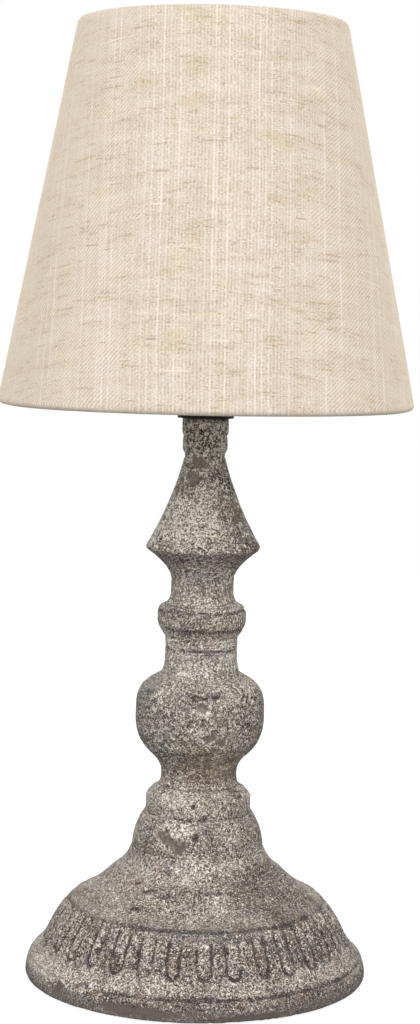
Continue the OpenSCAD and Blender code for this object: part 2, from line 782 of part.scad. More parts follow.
module centre_contact() color("#d0b060") {
    translate([-contact_l / 2, -contact_w / 2, contact_z])
        cube([contact_l, contact_w, contact_t]);
    translate([0, 0, contact_z + contact_t / 2])
        cylinder(h = contact_h + contact_t / 2, r = contact_r);
}

module holder_shell() color("#161616") difference() {
    union() {
        translate([0, 0, cap_top_z]) cylinder(h = shoulder_t, r = seat_r);
        translate([0, 0, cap_top_z]) cylinder(h = shell_top_z - cap_top_z, r = shell_r);
    }
    translate([0, 0, cap_top_z - overrun])
        cylinder(h = shell_top_z - shell_wall - cap_top_z + overrun, r = shell_bore_r);
    cylinder(h = shell_top_z + overrun, r = mouth_r);
    for (z = [lock_z + lock_h + shell_pitch:shell_pitch:shell_top_z - shell_pitch])
        ring(shell_r + overrun, shell_r - shell_thread_d, z - shell_pitch / 4, shell_pitch / 2);
}

module shade_ring() color("#161616") difference() {
    union() {
        translate([0, 0, lock_z]) cylinder(h = lock_h, r = lock_r);
        around(lock_lobes) translate([lock_r - lobe_r / 3, 0, lock_z])
            cylinder(h = lock_h, r = lobe_r, $fn = 24);
    }
    translate([0, 0, lock_z - overrun]) cylinder(h = lock_h + 2 * overrun, r = hub_bore_r);
}

// The shade's side: up along the cone, and in through the cloth
side_low = [shade_low_r, shade_z];
side_top = [shade_top_r, shade_top_z];
up = unit(side_top - side_low);
in = inward(side_low, side_top);
hem_w = 2 * cover_t + lining_t + 2 * (wire_r + wire_gap);
wire_in = cover_t + lining_t + wire_gap + wire_r;
wire_up = cover_t + wire_gap + wire_r;
low_wire = side_low + in * wire_in + up * wire_up;
high_wire = side_top + in * wire_in - up * wire_up;

// One turned hem in the shade's own directions: corner points from outside to inside
function hem(corner, rise) = [
    corner + rise * hem_round,
    corner + rise * hem_round * (1 - sin(45)) + in * hem_round * (1 - cos(45)),
    corner + in * hem_round,
    corner + in * (hem_w - hem_round),
    corner + in * (hem_w - hem_round * (1 - cos(45))) + rise * hem_round * (1 - sin(45)),
    corner + in * hem_w + rise * hem_round,
    corner + in * hem_w + rise * hem_h,
    corner + in * (hem_w - cover_t) + rise * hem_h,
    corner + in * (hem_w - cover_t) + rise * cover_t,
    corner + in * cover_t + rise * cover_t
];

module shade_cover() color("#dfd0b6") difference() {
    rotate_extrude() polygon(concat(
        hem(side_low, up), backwards(hem(side_top, -up))
    ));
    arm_wires(wire_r + 2 * wire_gap);
}

module shade_lining() color("#efe9dc") rotate_extrude() polygon([
    side_low + in * cover_t + up * cover_t,
    side_top + in * cover_t - up * cover_t,
    side_top + in * (cover_t + lining_t) - up * cover_t,
    side_low + in * (cover_t + lining_t) + up * cover_t
]);

module wire_ring(place) {
    rotate_extrude() translate(place) circle(r = wire_r, $fn = 32);
}

module top_wire() color("#e6e2da") wire_ring(high_wire);

module bottom_wire() color("#e6e2da") wire_ring(low_wire);

arm_end = [hub_r - arm_lap, seat_z + hub_t / 2];
arm_run = low_wire - arm_end;
module arm_wires(r) {
    rotate([0, 0, 90]) around(arm_count)
        translate([arm_end.x, 0, arm_end.y]) rotate([0, atan2(arm_run.x, arm_run.y), 0])
            cylinder(h = norm(arm_run), r = r, $fn = 32);
}

module shade_arms() color("#e6e2da") arm_wires(wire_r);

module shade_hub() color("#e6e2da") ring(hub_r, hub_bore_r, seat_z, hub_t);

module bulb_tip() color("#b8b8b4") translate([0, 0, tip_z]) cylinder(h = tip_h, r = tip_r);

module bulb_insulator() color("#202028") translate([0, 0, insulator_z])
    cylinder(h = insulator_h, r1 = tip_r, r2 = cap_root_r);

module bulb_cap() color("#c8c4b8") turned(line_of([
    thread_line(cap_z, cap_thread_r, cap_root_r, cap_turns),
    [[cap_thread_r, glass_z]]
]));

// The glass, from the cap up over the globe to its top, drawn in by a thickness
globe_turn = 30;
function globe_point(angle, t) =
    [(globe_r - t) * cos(angle), globe_z + (globe_r - t) * sin(angle)];
function glass_line(t) = line_of([
    [[glass_neck_r - t, glass_z]],
    from_upright([glass_neck_r - t, glass_z + glass_neck_h / 4], globe_point(-globe_turn, t), 1.6),
    [for (f = steps(turn_steps)) globe_point(-globe_turn * (1 - f), t)],
    [for (f = steps(2 * turn_steps)) globe_point(90 * f, t)]
]);
module bulb_glass() color("#f4f1ea", 0.6) difference() {
    turned(glass_line(0));
    turned(glass_line(glass_t));
}

module bulb_stem() color("#e8eef0", 0.6) translate([0, 0, glass_z]) cylinder(h = stem_h, r = stem_r);

module bulb_filament() color("#8a8a86") {
    top = glass_z + stem_h;
    translate([0, 0, top]) rotate_extrude() translate([filament_ring_r, filament_r])
        circle(r = filament_r, $fn = 16);
    for (side = [-1, 1]) translate([side * stem_r, 0, top + filament_r])
        rotate([0, side * 90, 0]) cylinder(h = filament_ring_r - stem_r, r = filament_r, $fn = 16);
}

felt_pad();
closing_plate();
foot_shell();
cord_bush();
iron_weight();
plain_washer();
spring_washer();
rod_nut();
threaded_rod();
step_collar();
bead_collar();
vase();
ring_spool();
cone_spire();
neck_piece();
holder_cap();
cap_grub_screw();
terminal_block();
terminals();
terminal_screws();
screw_shell();
centre_contact();
holder_shell();
shade_ring();
shade_cover();
shade_lining();
top_wire();
bottom_wire();
shade_arms();
shade_hub();
bulb_tip();
bulb_insulator();
bulb_cap();
bulb_glass();
bulb_stem();
bulb_filament();
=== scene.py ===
"""The looks of a bedside lamp: a turned column with sandy stone-look paint and a linen shade."""
import json
import math
from types import SimpleNamespace

import bmesh
import bpy
import numpy as np
from mathutils import Matrix, Vector
from mathutils.bvhtree import BVHTree


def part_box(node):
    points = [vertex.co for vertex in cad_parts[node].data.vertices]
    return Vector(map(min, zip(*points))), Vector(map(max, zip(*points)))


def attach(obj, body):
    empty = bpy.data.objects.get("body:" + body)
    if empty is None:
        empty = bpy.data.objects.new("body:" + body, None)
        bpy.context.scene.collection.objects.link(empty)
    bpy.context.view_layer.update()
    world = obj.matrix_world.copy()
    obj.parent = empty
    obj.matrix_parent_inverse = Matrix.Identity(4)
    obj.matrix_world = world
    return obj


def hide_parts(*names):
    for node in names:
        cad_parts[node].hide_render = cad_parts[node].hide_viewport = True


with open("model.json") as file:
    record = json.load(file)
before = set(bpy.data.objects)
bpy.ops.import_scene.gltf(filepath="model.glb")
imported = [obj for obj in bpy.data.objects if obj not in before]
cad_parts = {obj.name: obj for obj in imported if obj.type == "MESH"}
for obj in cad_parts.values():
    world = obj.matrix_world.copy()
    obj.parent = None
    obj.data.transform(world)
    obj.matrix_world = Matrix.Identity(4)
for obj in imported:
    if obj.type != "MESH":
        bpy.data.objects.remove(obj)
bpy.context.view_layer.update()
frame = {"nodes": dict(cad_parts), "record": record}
NODES = frame["nodes"]
MM = 0.001
WHOLE_TURN = 2 * math.pi

# The camera, in metres and degrees
CAMERA_AWAY = 1.030
CAMERA_SIDE = 0.0029
CAMERA_UP = 0.316
AIM_UP = 0.222
ROLL = 1.16
LENS_MM = 76.95
SENSOR_MM = 36.0

# The studio, in metres and watts; tones and strengths from 0 to 1
FILL_LIGHT = 0.60
LAMP_AIM = (0, 0, 0.22)
KEY_PLACE = (0.05, -2.8, 1.95)
KEY_SIZE = 2.4
KEY_ENERGY = 82.0
BACK_PLACE = (0.0, 2.6, 1.6)
BACK_SIZE = 2.4
BACK_ENERGY = 36.0
FLOOR_HALF = 1.6
FLOOR_TONE = 0.35
FLOOR_SPREAD = 0.01
FLOOR_CLOUDS_MM = 400.0
FLOOR_GLOW = 0.80

# Reading and smoothing an outline, in millimetres and in points of the line
RAY_STEP = 0.1
RAY_START = 300.0
SMOOTH_STEPS = 4
SMOOTH_REACH = 12
LEAST_LENGTH = 1e-9

# The turned pieces, in millimetres: spacing of the mesh, walls, softness of worn edges
STONE_SPACING = 0.75
SEGMENTS_STEP = 8
FOOT_SEGMENTS = 800
FOOT_SPACING = 1.1
INNER_SPACING = 4.0
INNER_CLEAR = 1.0
INNER_DROP = 0.5
EDGE_SOFTNESS = 0.32
EDGE_ROWS = 2
JOINT_WIDTH = 0.25
ROD_HOLE = 5.3
STONE_WALL = 1.6
FOOT_WALL = 2.2

# The stone-look paint, in millimetres
COARSE_CRUST = 0.11
FINE_CRUST = 0.10
CHIP_DEPTH = 0.26
CHIP_CALM = 0.85
RIM_OUT = 1.2
RIM_WIDTH = 0.22
RIM_TONE = 0.4
SCRATCH_HALF = 0.6

# The patterned band round the foot, in millimetres
BAND_LOW = 18.0
BAND_TOP = 36.8
BAND_LOW_RADIUS = 72.2
BAND_TOP_RADIUS = 60.4
BAND_LENGTH = math.hypot(BAND_TOP - BAND_LOW, BAND_LOW_RADIUS - BAND_TOP_RADIUS)
BAND_SPACING = 0.72
BAND_MARGIN = 2.0
BAND_DEEP_MARGIN = 3.0

# Its tongues, in millimetres and degrees; a stray is how far one may differ from the plain tongue
TONGUES = 32
TONGUE_ANGLES = (0.0, 1.4, 2.8, 4.2, 5.6)
TONGUE_HALF = 3.1
TONGUE_END = 4.6
TONGUE_PHASE = 3.5
TONGUE_LOW = -0.9
TONGUE_TOP_GAP = 4.2
TONGUE_TOP_WANDER = 2.2
TOP_WANDERS = 3
WIDTH_STRAY = 0.09
SIDE_STRAY = 0.35
LOW_STRAY = 0.8
TOP_STRAY = 0.9
DEPTH_STRAY = 0.35
SIDE_WAVER = 0.30
GROOVE_HALF = 0.56
GROOVE_DEPTH = 1.05
BORDER_OUT = 1.5
BORDER_HALF = 0.75
BORDER_RISE = 0.28
CROWN_RISE = 0.35

# The shade's cloth, in millimetres
CLOTH_SEGMENTS = 400
CLOTH_SPACING = 1.5
CLOTH_INNER_SPACING = 6.0
CLOTH_SOFTNESS = 0.5
CLOTH_WAVE = 0.22
CLOTH_WAVE_SIZE = 55.0
HEM_FINE = 9.0
HEM_SPACING = 0.6
HEM_ROWS = 2
LAP_WIDTH = 9.0
LAP_RISE = 0.55
LAP_EDGE = 0.4
LAP_FADE = 2.5

# Its weave, in millimetres, and the twill's slope in threads
WARP_PITCH = 1.52
WEFT_PITCH = 0.82
ZONE_MIDDLE = 8.0
ZONE_WIDTH = 150.0
TWILL_ACROSS = 0.70
TWILL_ALONG = 0.39

# The bulb's glass, in millimetres, and the distance in metres at which points are welded
BULB_SPACING = 0.8
BULB_SEGMENTS = 160
BULB_WALL_LEAST = 0.3
WELD = 1e-7


# Noise on a lattice, the same on every run

BITS = 0xFFFFFFFF
CELL_FACTORS = (73856093, 19349663, 83492791)
SEED_FACTOR = 2654435761
STIRS = ((15, 2246822519), (13, 3266489917))
LAST_SHIFT = 16


def scattered(cells, seed):
    """A number from 0 to 1 for each whole-numbered cell."""
    across, away, up = (cells[:, i] * factor for i, factor in enumerate(CELL_FACTORS))
    mixed = (across ^ away ^ up ^ (seed * SEED_FACTOR)) & BITS
    for shift, factor in STIRS:
        mixed = ((mixed ^ (mixed >> shift)) * factor) & BITS
    return (mixed ^ (mixed >> LAST_SHIFT)) / BITS


def noise(points, size, seed):
    """Smooth noise from -1 to 1 whose lumps are as wide as size."""
    places = points / size
    low = np.floor(places).astype(np.int64)
    part = places - low
    part = part * part * (3 - 2 * part)
    total = np.zeros(len(points))
    for corner in np.ndindex(2, 2, 2):
        share = np.prod(np.where(corner, part, 1 - part), axis=1)
        total += share * scattered(low + np.array(corner), seed)
    return 2 * total - 1


def rough_noise(points, size, seed, layers=3):
    """Noise with finer and weaker layers added."""
    total = sum(noise(points, size / 2 ** i, seed + i) / 2 ** i for i in range(layers))
    return total / 1.5


def step_up(value, low, high):
    """0 below low, 1 above high, and smooth between them."""
    share = np.clip((value - low) / (high - low), 0, 1)
    return share * share * (3 - 2 * share)


# Outlines read from the frame, each an array of (radius, height) in millimetres


def surface_of(node):
    """A node's faces, for rays to meet."""
    mesh = NODES[node].data
    corners = [v.co for v in mesh.vertices]
    return BVHTree.FromPolygons(corners, [p.vertices[:] for p in mesh.polygons])


def radius_from(tree, height, angle, outward=False):
    """Radius at which a level ray first meets a node, from outside or from the axis."""
    way = Vector((math.sin(angle), -math.cos(angle), 0))
    start = Vector((0, 0, height * MM))
    if not outward:
        start += way * RAY_START * MM
    hit = tree.ray_cast(start, way if outward else -way)[0]
    return math.hypot(hit.x, hit.y) / MM if hit else None


def side_of(node, angles=(0.0,), outward=False):
    """A turned node's side from its foot to its top."""
    low, high = (corner.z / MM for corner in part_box(node))
    tree = surface_of(node)
    line = []
    for height in np.linspace(low, high, int((high - low) / RAY_STEP)):
        inside = min(max(height, low + RAY_STEP / 4), high - RAY_STEP / 4)
        found = [radius_from(tree, inside, math.radians(a), outward) for a in angles]
        found = [radius for radius in found if radius]
        if found:
            line.append((min(found) if outward else max(found), height))
    return np.array(line)


def spaced(line, spacing):
    """The same line with its points evenly apart."""
    along = np.concatenate([[0], np.cumsum(np.hypot(*np.diff(line, axis=0).T))])
    count = max(int(round(along[-1] / spacing)), 2)
    wanted = np.linspace(0, along[-1], count + 1)
    return np.stack([np.interp(wanted, along, line[:, i]) for i in (0, 1)], axis=1)


def smoothed(line):
    """Each point averaged with its neighbours; SMOOTH_REACH points at each end only lend weight."""
    steps = np.arange(-SMOOTH_REACH, SMOOTH_REACH + 1) / SMOOTH_STEPS
    weights = np.exp(-0.5 * steps ** 2)
    weights /= weights.sum()
    return np.stack([np.convolve(line[:, i], weights, "valid") for i in (0, 1)], axis=1)


def softened(line, softness):
    """The line with its corners worn round, its two ends kept."""
    fine = spaced(line, softness / SMOOTH_STEPS)
    return smoothed(np.pad(fine, ((SMOOTH_REACH, SMOOTH_REACH), (0, 0)), mode="edge"))


def outward_of(line):
    """The direction square to the line at each point, away from the axis."""
    along = np.gradient(line, axis=0)
    square = np.stack([along[:, 1], -along[:, 0]], axis=1)
    return square / np.maximum(np.hypot(*square.T), LEAST_LENGTH)[:, None]


# Meshes


def new_object(name, points, faces, material):
    """A smooth mesh in the scene, its points in metres."""
    mesh = bpy.data.meshes.new(name)
    mesh.from_pydata(points.tolist(), [], faces.tolist())
    mesh.materials.append(material)
    mesh.shade_smooth()
    piece = bpy.data.objects.new(name, mesh)
    bpy.context.scene.collection.objects.link(piece)
    return piece


def lathe_faces(rows, segments):
    """Quads of a closed outline turned right round, with the corner numbers of each."""
    row, turn = np.meshgrid(np.arange(rows), np.arange(segments), indexing="ij")
    row, turn = row.ravel(), turn.ravel()
    corners = [(row, turn), (row, turn + 1), (row + 1, turn + 1), (row + 1, turn)]
    faces = np.stack([(r % rows) * segments + t % segments for r, t in corners], axis=1)
    return faces, corners


def turned_points(loop, segments):
    """Radius, angle from the front and height of each point of a closed outline turned round."""
    angles = np.arange(segments) * WHOLE_TURN / segments
    radius, angle = np.meshgrid(loop[:, 0], angles, indexing="ij")
    height = np.repeat(loop[:, 1][:, None], segments, axis=1)
    return radius, angle, height


def in_space(radius, angle, height):
    """The same points along the frame's three axes."""
    return np.stack([radius * np.sin(angle), -radius * np.cos(angle), height], axis=-1)


def write_value(piece, name, values):
    """A number on each point, which the material reads by its name."""
    layer = piece.data.attributes.new(name, "FLOAT", "POINT")
    layer.data.foreach_set("value", np.ascontiguousarray(values, dtype=np.float32).ravel())


# Marks on the stone-look paint: angle from the front in degrees, height, half width, half height
CHIPS = (
    (-16, 245.4, 4.4, 2.5), (-18, 238, 3.9, 3.2), (-31, 240.8, 2, 1.7), (-46, 233, 0.8, 2.4),
    (9, 173.8, 2.2, 1.8), (10, 118.8, 3.4, 1.8), (19, 117.2, 3, 1.7), (13, 121.4, 1.4, 1.6),
    (-26, 69.8, 4.4, 2.2), (-35, 71.8, 2.8, 2.2), (-17, 67.6, 3.6, 3.4), (-51, 6.2, 2.6, 3),
    (-16, 4.2, 21, 2.9), (20, 1.8, 26, 1.6), (2, 133.4, 2, 2), (84, 205.6, 3.4, 2),
    (150, 118, 3.4, 2.6), (-140, 130, 2.6, 2), (128, 68, 3, 3), (-112, 40, 5, 3.2),
    (172, 226, 2.6, 3.6), (-155, 9, 7, 2.4), (104, 12, 6, 2.6), (-170, 186, 2.6, 1.8),
    (140, 52, 4.4, 2.8),
)
# Lines turned or scratched into it: angle, height, half length in degrees, depth, rise in millimetres
SCRATCHES = (
    (-58, 134.4, 16, 0.85, 0.6), (-48, 126.4, 20, 0.75, 1.2), (0, 138.2, 7, 1.20, -1),
    (2, 134.6, 6, 0.50, 0.8), (17, 139.9, 9, 1.00, 0.4), (-47.7, 232.7, 2, 1.20, 2.4),
    (22, 10.5, 52, 0.90, 0), *((45 + 4.5 * i, 137.8 - 1.1 * i, 4, 1.3, 1.9) for i in range(4)),
    *((42 + 6 * i, 123.6 - 0.4 * i, 4, 0.9, 1.4) for i in range(4)), (8, 36.2, 36, 0.70, 0),
    (52, 35.8, 14, 0.60, 0.6), (8, 176.1, 92, 1.00, 0), (8, 167.2, 66, 0.90, -0.3),
    (-62, 131, 12, 0.80, 0.4), (-56, 122.5, 16, 0.65, 0.8), (-60, 138.4, 10, 0.70, 0.2),
    (-12, 157.6, 78, 1.15, -0.2), (76, 187.2, 30, 0.32, 0.6), (-40, 148.8, 20, 0.26, 0.2),
    (30, 95, 24, 0.18, 0.4), (-30, 110, 34, 0.20, 0.6), (10, 80.4, 9, 0.60, 0.5),
    (-23, 56.2, 5, 0.90, -0.4), (-30, 48.5, 4.5, 0.90, 0.3), (-18.6, 47.5, 6, 0.65, -0.3),
    (-32, 42, 3, 1.10, 0.4), (3, 49.3, 10, 0.30, 0.3), (-42, 51, 2.4, 0.90, 0.4),
    (150, 133, 40, 0.28, 0.5), (-130, 122, 30, 0.24, -0.6), (180, 168, 80, 0.30, 0.3),
    (-100, 196, 36, 0.22, 0.4), (120, 84, 26, 0.24, 0.2), (0, 48, 44, 0.16, 0.8),
)


def apart(angle, middle):
    """Difference of two angles in degrees, from -180 to 180."""
    return (angle - middle + 180) % 360 - 180


def from_mark(radius, angle, height, mark, wider=0.0):
    """How far each point is from a mark's middle, where 1 is the mark's edge."""
    middle, level, wide, high = mark[:4]
    across = radius * np.radians(apart(angle, middle)) / (wide + wider)
    return np.hypot(across, (height - level) / (high + wider))


def chip_share(points, radius, angle, height):
    """How far the paint's crust is gone at each point, from 0 to 1."""
    ragged = 0.52 * rough_noise(points, 4.2, 31) + 0.36 * rough_noise(points, 1.7, 37)
    share = np.zeros(len(points))
    for chip in CHIPS:
        off = from_mark(radius, angle, height, chip)
        share = np.maximum(share, step_up(1.1 - off + ragged, 0.0, 0.24))
    worn = rough_noise(points, 10.0, 48) + 0.5 * rough_noise(points, 2.4, 53)
    return np.maximum(share, step_up(worn, 0.92, 1.04))


def scratch_depth(points, angle, height):
    """Depth of the turned lines and scratches at each point."""
    depth = np.zeros(len(points))
    waver = 0.5 * noise(points, 7.0, 61)
    strength = 0.65 + 0.5 * noise(points, 3.0, 67)
    for middle, level, reach, deep, rise in SCRATCHES:
        along = apart(angle, middle) / reach
        off = (height - level - rise * along + waver) / SCRATCH_HALF
        in_reach = step_up(1.2 - np.abs(along), 0, 0.4)
        depth = np.maximum(depth, deep * strength * np.exp(-off * off) * in_reach)
    return depth


# Pits in the paint: angle, height, half width, half height, depth in millimetres
PITS = (
    (-4.6, 86.1, 1.4, 1.7, 1), (-1.5, 71.8, 1.5, 2, 1.1), (57, 89.6, 2.4, 1.7, 1),
    (-4, 138, 2.2, 1.1, 1.1), (2, 133.4, 1.6, 1.6, 0.5), (14, 138.4, 2.4, 0.9, 1.1),
    (-51, 6.4, 2.4, 2.6, 0.8), (-9, 79.2, 0.9, 0.8, 0.8), (-31, 74.2, 1.1, 0.9, 0.9),
    (15, 96, 1, 1.2, 0.6), (118, 130, 1.8, 1.4, 0.9), (-150, 86, 1.6, 1.8, 0.9),
    (165, 44, 1.6, 1.4, 0.8),
)


def pit_depth(points, radius, angle, height):
    """Depth of the pits at each point, with ragged edges."""
    depth = np.zeros(len(points))
    ragged = 0.45 * noise(points, 1.9, 105)
    for *mark, deep in PITS:
        off = from_mark(radius, angle, height, mark) + ragged
        depth = np.maximum(depth, deep * step_up(1.25 - off, 0, 0.8))
    return depth


# Creases right round the foot: height, depth, half width in millimetres
CREASES = ((36.2, 0.5, 0.7), (10.5, 0.3, 0.5))


def crease_depth(points, height):
    """Depth of the creases above the band and above the lip, deeper in some places."""
    depth = np.zeros(len(points))
    waver = 0.35 * noise(points, 9.0, 77)
    strength = np.clip(0.75 + 0.6 * rough_noise(points, 8.0, 79), 0.15, 1.4)
    for level, deep, half in CREASES:
        depth = np.maximum(depth, deep * strength * np.exp(-((height - level + waver) / half) ** 2))
    return depth


# Half width in millimetres of a patch that goes right round the lamp
ALL_ROUND = 400
# Patches of the paint: angle from the front, height, half width, half height, amount.
# Many are painted shade and painted light: darker where the column faces down or away from the key lamp,
# lighter on its left side and on the neck in the shade's shadow; the rest are the paint's own patches.
PAINT_AND_SHADE_PATCHES = (
    (0, 268, ALL_ROUND, 9, 0.16), (0, 247, ALL_ROUND, 9, 0.30), (-22, 222, 110, 12, 0.84),
    (21, 240.6, 2.8, 2.8, -0.7), (-60, 215, 8, 9, 0.3), (56, 222, 9, 20, -1.6), (80, 206, 6, 2.6, -0.8),
    (0, 202, ALL_ROUND, 3, -0.60), (0, 166.6, ALL_ROUND, 1.5, -0.7), (0, 195, ALL_ROUND, 6, -0.37),
    (0, 165, ALL_ROUND, 5, 0.25), (0, 171, ALL_ROUND, 4, -0.25), (0, 158, ALL_ROUND, 4, 0.30),
    (0, 126, ALL_ROUND, 12, -0.38), (0, 152, ALL_ROUND, 7, 0.40), (-62, 128, 12, 14, -0.10),
    (58, 128, 10, 14, -0.15), (-4, 137, 2.2, 1.4, -0.9), (10, 138.2, 3, 1.2, -0.9),
    (4, 130.6, 4, 2.6, 0.5), (-3, 122.6, 4, 2.6, 0.7), (0, 105, ALL_ROUND, 9, -0.78),
    (0, 95, ALL_ROUND, 6, -0.07), (-24, 88, 12, 4, 0.50), (-34, 76, 4, 2.2, 1), (-14, 75.4, 6, 2.6, 1),
    (0, 70.5, 2.6, 2.6, 0.6), (-22, 73.4, 3, 1.3, 0.7), (0, 72, ALL_ROUND, 9, -0.40),
    (0, 46, ALL_ROUND, 8, -0.32), (56, 46, 26, 12, -1.15), (-56, 46, 24, 12, 0.28),
    (0, 26, ALL_ROUND, 9, -0.78), (56, 26, 22, 9, -0.35), (-51, 6.2, 3, 3, -1),
    (52, 89.6, 3.4, 2.2, -0.9), (0, 2.6, ALL_ROUND, 4.4, -1), (12, 7, 70, 4.5, -1.1),
    (-62, 10, 20, 6, 0.75), (26, 8.2, 8, 1.2, 0.6), (54, 9.5, 14, 2.5, -0.6), (130, 212, 9, 9, -0.4),
    (-150, 128, 16, 10, -0.3), (170, 46, 26, 8, -0.25), (95, 88, 10, 6, 0.3),
)
# Cooler grey where the amount is above 0, browner where it is below
HUES = (
    (-46, 126, 13, 16, 0.55), (-20, 152, 8, 6, 0.5), (-70, 140, 10, 10, 0.7), (20, 110, 16, 12, -0.9),
    (30, 166, 10, 6, -0.8), (40, 222, 8, 14, -0.8), (0, 101, ALL_ROUND, 6, -0.5), (-62, 10, 18, 6, 0.8),
    (-50, 46, 16, 10, -0.6), (40, 46, 14, 8, -0.4), (10, 34, 30, 3, 0.8), (40, 26, 12, 7, 0.5),
    (-10, 192, 12, 8, 0.7), (50, 84, 9, 10, -0.7), (150, 60, 40, 20, 0.6), (57, 89.8, 4, 2.4, 1),
    (0, 2.6, ALL_ROUND, 4, 0.6), (28, 8.4, 14, 1.6, 0.9), (0, 264, ALL_ROUND, 14, -0.35),
)
# Smoother places, where the grain shows less, and livelier ones where the amount is below 0
CALMS = (
    (0, 266, ALL_ROUND, 11, -1.1), (0, 252, ALL_ROUND, 8, -0.7), (58, 222, 10, 22, -0.8),
    (-58, 218, 8, 14, -0.6), (0, 226, ALL_ROUND, 18, -0.2), (0, 196, ALL_ROUND, 8, -0.25),
    (0, 170, ALL_ROUND, 8, -0.15), (-50, 126, 13, 14, -0.65), (62, 126, 12, 14, -0.3),
    (0, 107, ALL_ROUND, 8, -0.5), (-22, 75.6, 8, 2.4, -0.5), (-56, 45, 17, 8, 0.18),
    (64, 46, 14, 8, -0.15), (0, 37.5, ALL_ROUND, 1.6, 0.35), (80, 206, 7, 3, 0.8),
    (0, 2.2, ALL_ROUND, 3.4, 0.60), (-66, 28, 20, 9, -0.1), (62, 28, 20, 9, -0.2),
    (160, 50, 30, 10, 0.3), (-140, 120, 16, 12, 0.25), (0, 27, ALL_ROUND, 8, -0.25),
    (-50, 9, 26, 6, -0.3),
)


def patches(points, radius, angle, height, places, seed):
    """Sum of the amounts of the patches that each point lies in, with wandering edges."""
    total = np.zeros(len(points))
    waver = 0.3 * noise(points, 9.0, seed)
    for *mark, amount in places:
        off = from_mark(radius, angle, height, mark) + waver
        total += amount * step_up(1.35 - off, 0, 0.8)
    return total


def tone_with_painted_shade(points, radius, angle, height):
    """How much lighter or darker the paint is, with painted shade and painted light from the patches, and
    a pale rim of crust round each chip.
    """
    tone = 0.18 * rough_noise(points, 26.0, 89)
    # the patches add painted shade and painted light to the paint's own tone
    tone += patches(points, radius, angle, height, PAINT_AND_SHADE_PATCHES, 91)
    waver = 0.35 * noise(points, 2.6, 97)
    for chip in CHIPS:
        off = from_mark(radius, angle, height, chip, wider=RIM_OUT) + waver
        tone += RIM_TONE * np.exp(-((off - 1.0) / RIM_WIDTH) ** 2)
    return np.clip(tone, -1, 1)


def own_number(index, seed):
    """A number from -1 to 1 that belongs to each tongue."""
    return 2 * scattered(np.stack([index, index * 0, index * 0], axis=1), seed) - 1


def tongue_relief(points, radius, angle, height):
    """Rise of the tongues and depth of their grooves."""
    slope = up_the_band(radius, height)
    pitch = 360 / TONGUES
    index = np.round((angle - TONGUE_PHASE) / pitch).astype(np.int64) % TONGUES
    across = radius * np.radians((angle - TONGUE_PHASE + pitch / 2) % pitch - pitch / 2)
    across = across + SIDE_WAVER * noise(points, 4.0, 71) + SIDE_STRAY * own_number(index, 72)
    half = TONGUE_HALF * (1 + WIDTH_STRAY * own_number(index, 75))
    low = TONGUE_LOW + LOW_STRAY * own_number(index, 76)
    top_gap = TONGUE_TOP_GAP + TONGUE_TOP_WANDER * np.cos(TOP_WANDERS * np.radians(angle))
    length = BAND_LENGTH - top_gap + TOP_STRAY * own_number(index, 78)
    below = np.maximum(low + TONGUE_END - slope, 0) / TONGUE_END
    off = (np.hypot(across / half, below) - 1) * half
    in_band = step_up(slope, TONGUE_LOW - 3.2, TONGUE_LOW - 1.6)
    in_band = in_band * step_up(length + 1.4 - slope, 0, 2.2)
    uneven = 0.74 + 0.30 * noise(points, 6.0, 73) + 0.45 * noise(points, 2.2, 74)
    uneven = uneven + DEPTH_STRAY * own_number(index, 80) * np.sign(across)
    groove = GROOVE_DEPTH * np.clip(uneven, 0.05, 1.3) * np.exp(-(off / GROOVE_HALF) ** 2)
    border = BORDER_RISE * np.exp(-((off - BORDER_OUT) / BORDER_HALF) ** 2)
    crown = CROWN_RISE * step_up(-off, 0.6, 2.4)
    return in_band * (border + crown - groove)


def up_the_band(radius, height):
    """Distance up the patterned band from its foot."""
    run = (BAND_LOW_RADIUS - BAND_TOP_RADIUS) / BAND_LENGTH
    rise = (BAND_TOP - BAND_LOW) / BAND_LENGTH
    return (BAND_LOW_RADIUS - radius) * run + (height - BAND_LOW) * rise


def inner_side(line, wall, low, top):
    """The inside of a hollow piece, from its top down."""
    inner = spaced(line - wall * outward_of(line), INNER_SPACING)[::-1]
    fits = (inner[:, 1] < top - wall - INNER_CLEAR) & (inner[:, 1] > low + INNER_CLEAR)
    inner = inner[fits & (inner[:, 0] > ROD_HOLE + INNER_CLEAR)]
    inner = inner[np.concatenate([[True], np.diff(inner[:, 1]) < -INNER_DROP])]
    return [(inner[0][0], top - wall), *map(tuple, inner)]


def stone_side(node, foot):
    """A turned piece's outside with its edges worn round, its lowest and its highest place."""
    line = side_of(node, TONGUE_ANGLES if foot else (0.0,))
    low, top = line[0][1], line[-1][1]
    joint_low = (line[0][0] - (curl_width() if foot else JOINT_WIDTH), low)
    joint_top = (line[-1][0] - JOINT_WIDTH, top)
    line = softened(np.vstack([joint_low, line, joint_top]), EDGE_SOFTNESS)
    return foot_rows(line) if foot else spaced(line, STONE_SPACING), low, top


def stone_inside(line, foot, low, top):
    """A turned piece's inside, from the rod's hole in its top down to its foot."""
    wall = FOOT_WALL if foot else STONE_WALL
    ground = low + (wall if foot else 0)
    inner = [(ROD_HOLE, top), (ROD_HOLE, top - wall), *inner_side(line, wall, ground, top)]
    inner.append((inner[-1][0], ground))
    if foot:
        inner.append((line[0][0], ground))
    return np.array(inner)


def stone_relief(where, foot):
    """At each point: share of crust that is gone, what is carved, and the rise in all."""
    points, _, angle, height = where
    chips = chip_share(*where)
    carved = -scratch_depth(points, angle, height)
    carved -= pit_depth(*where)
    if foot:
        carved += tongue_relief(*where)
        carved -= crease_depth(points, height)
    crust = COARSE_CRUST * rough_noise(points, 5.5, 11) + FINE_CRUST * rough_noise(points, 1.7, 17, 2)
    rise = crust * (1 - CHIP_CALM * chips) - CHIP_DEPTH * chips
    return chips, carved, rise + carved


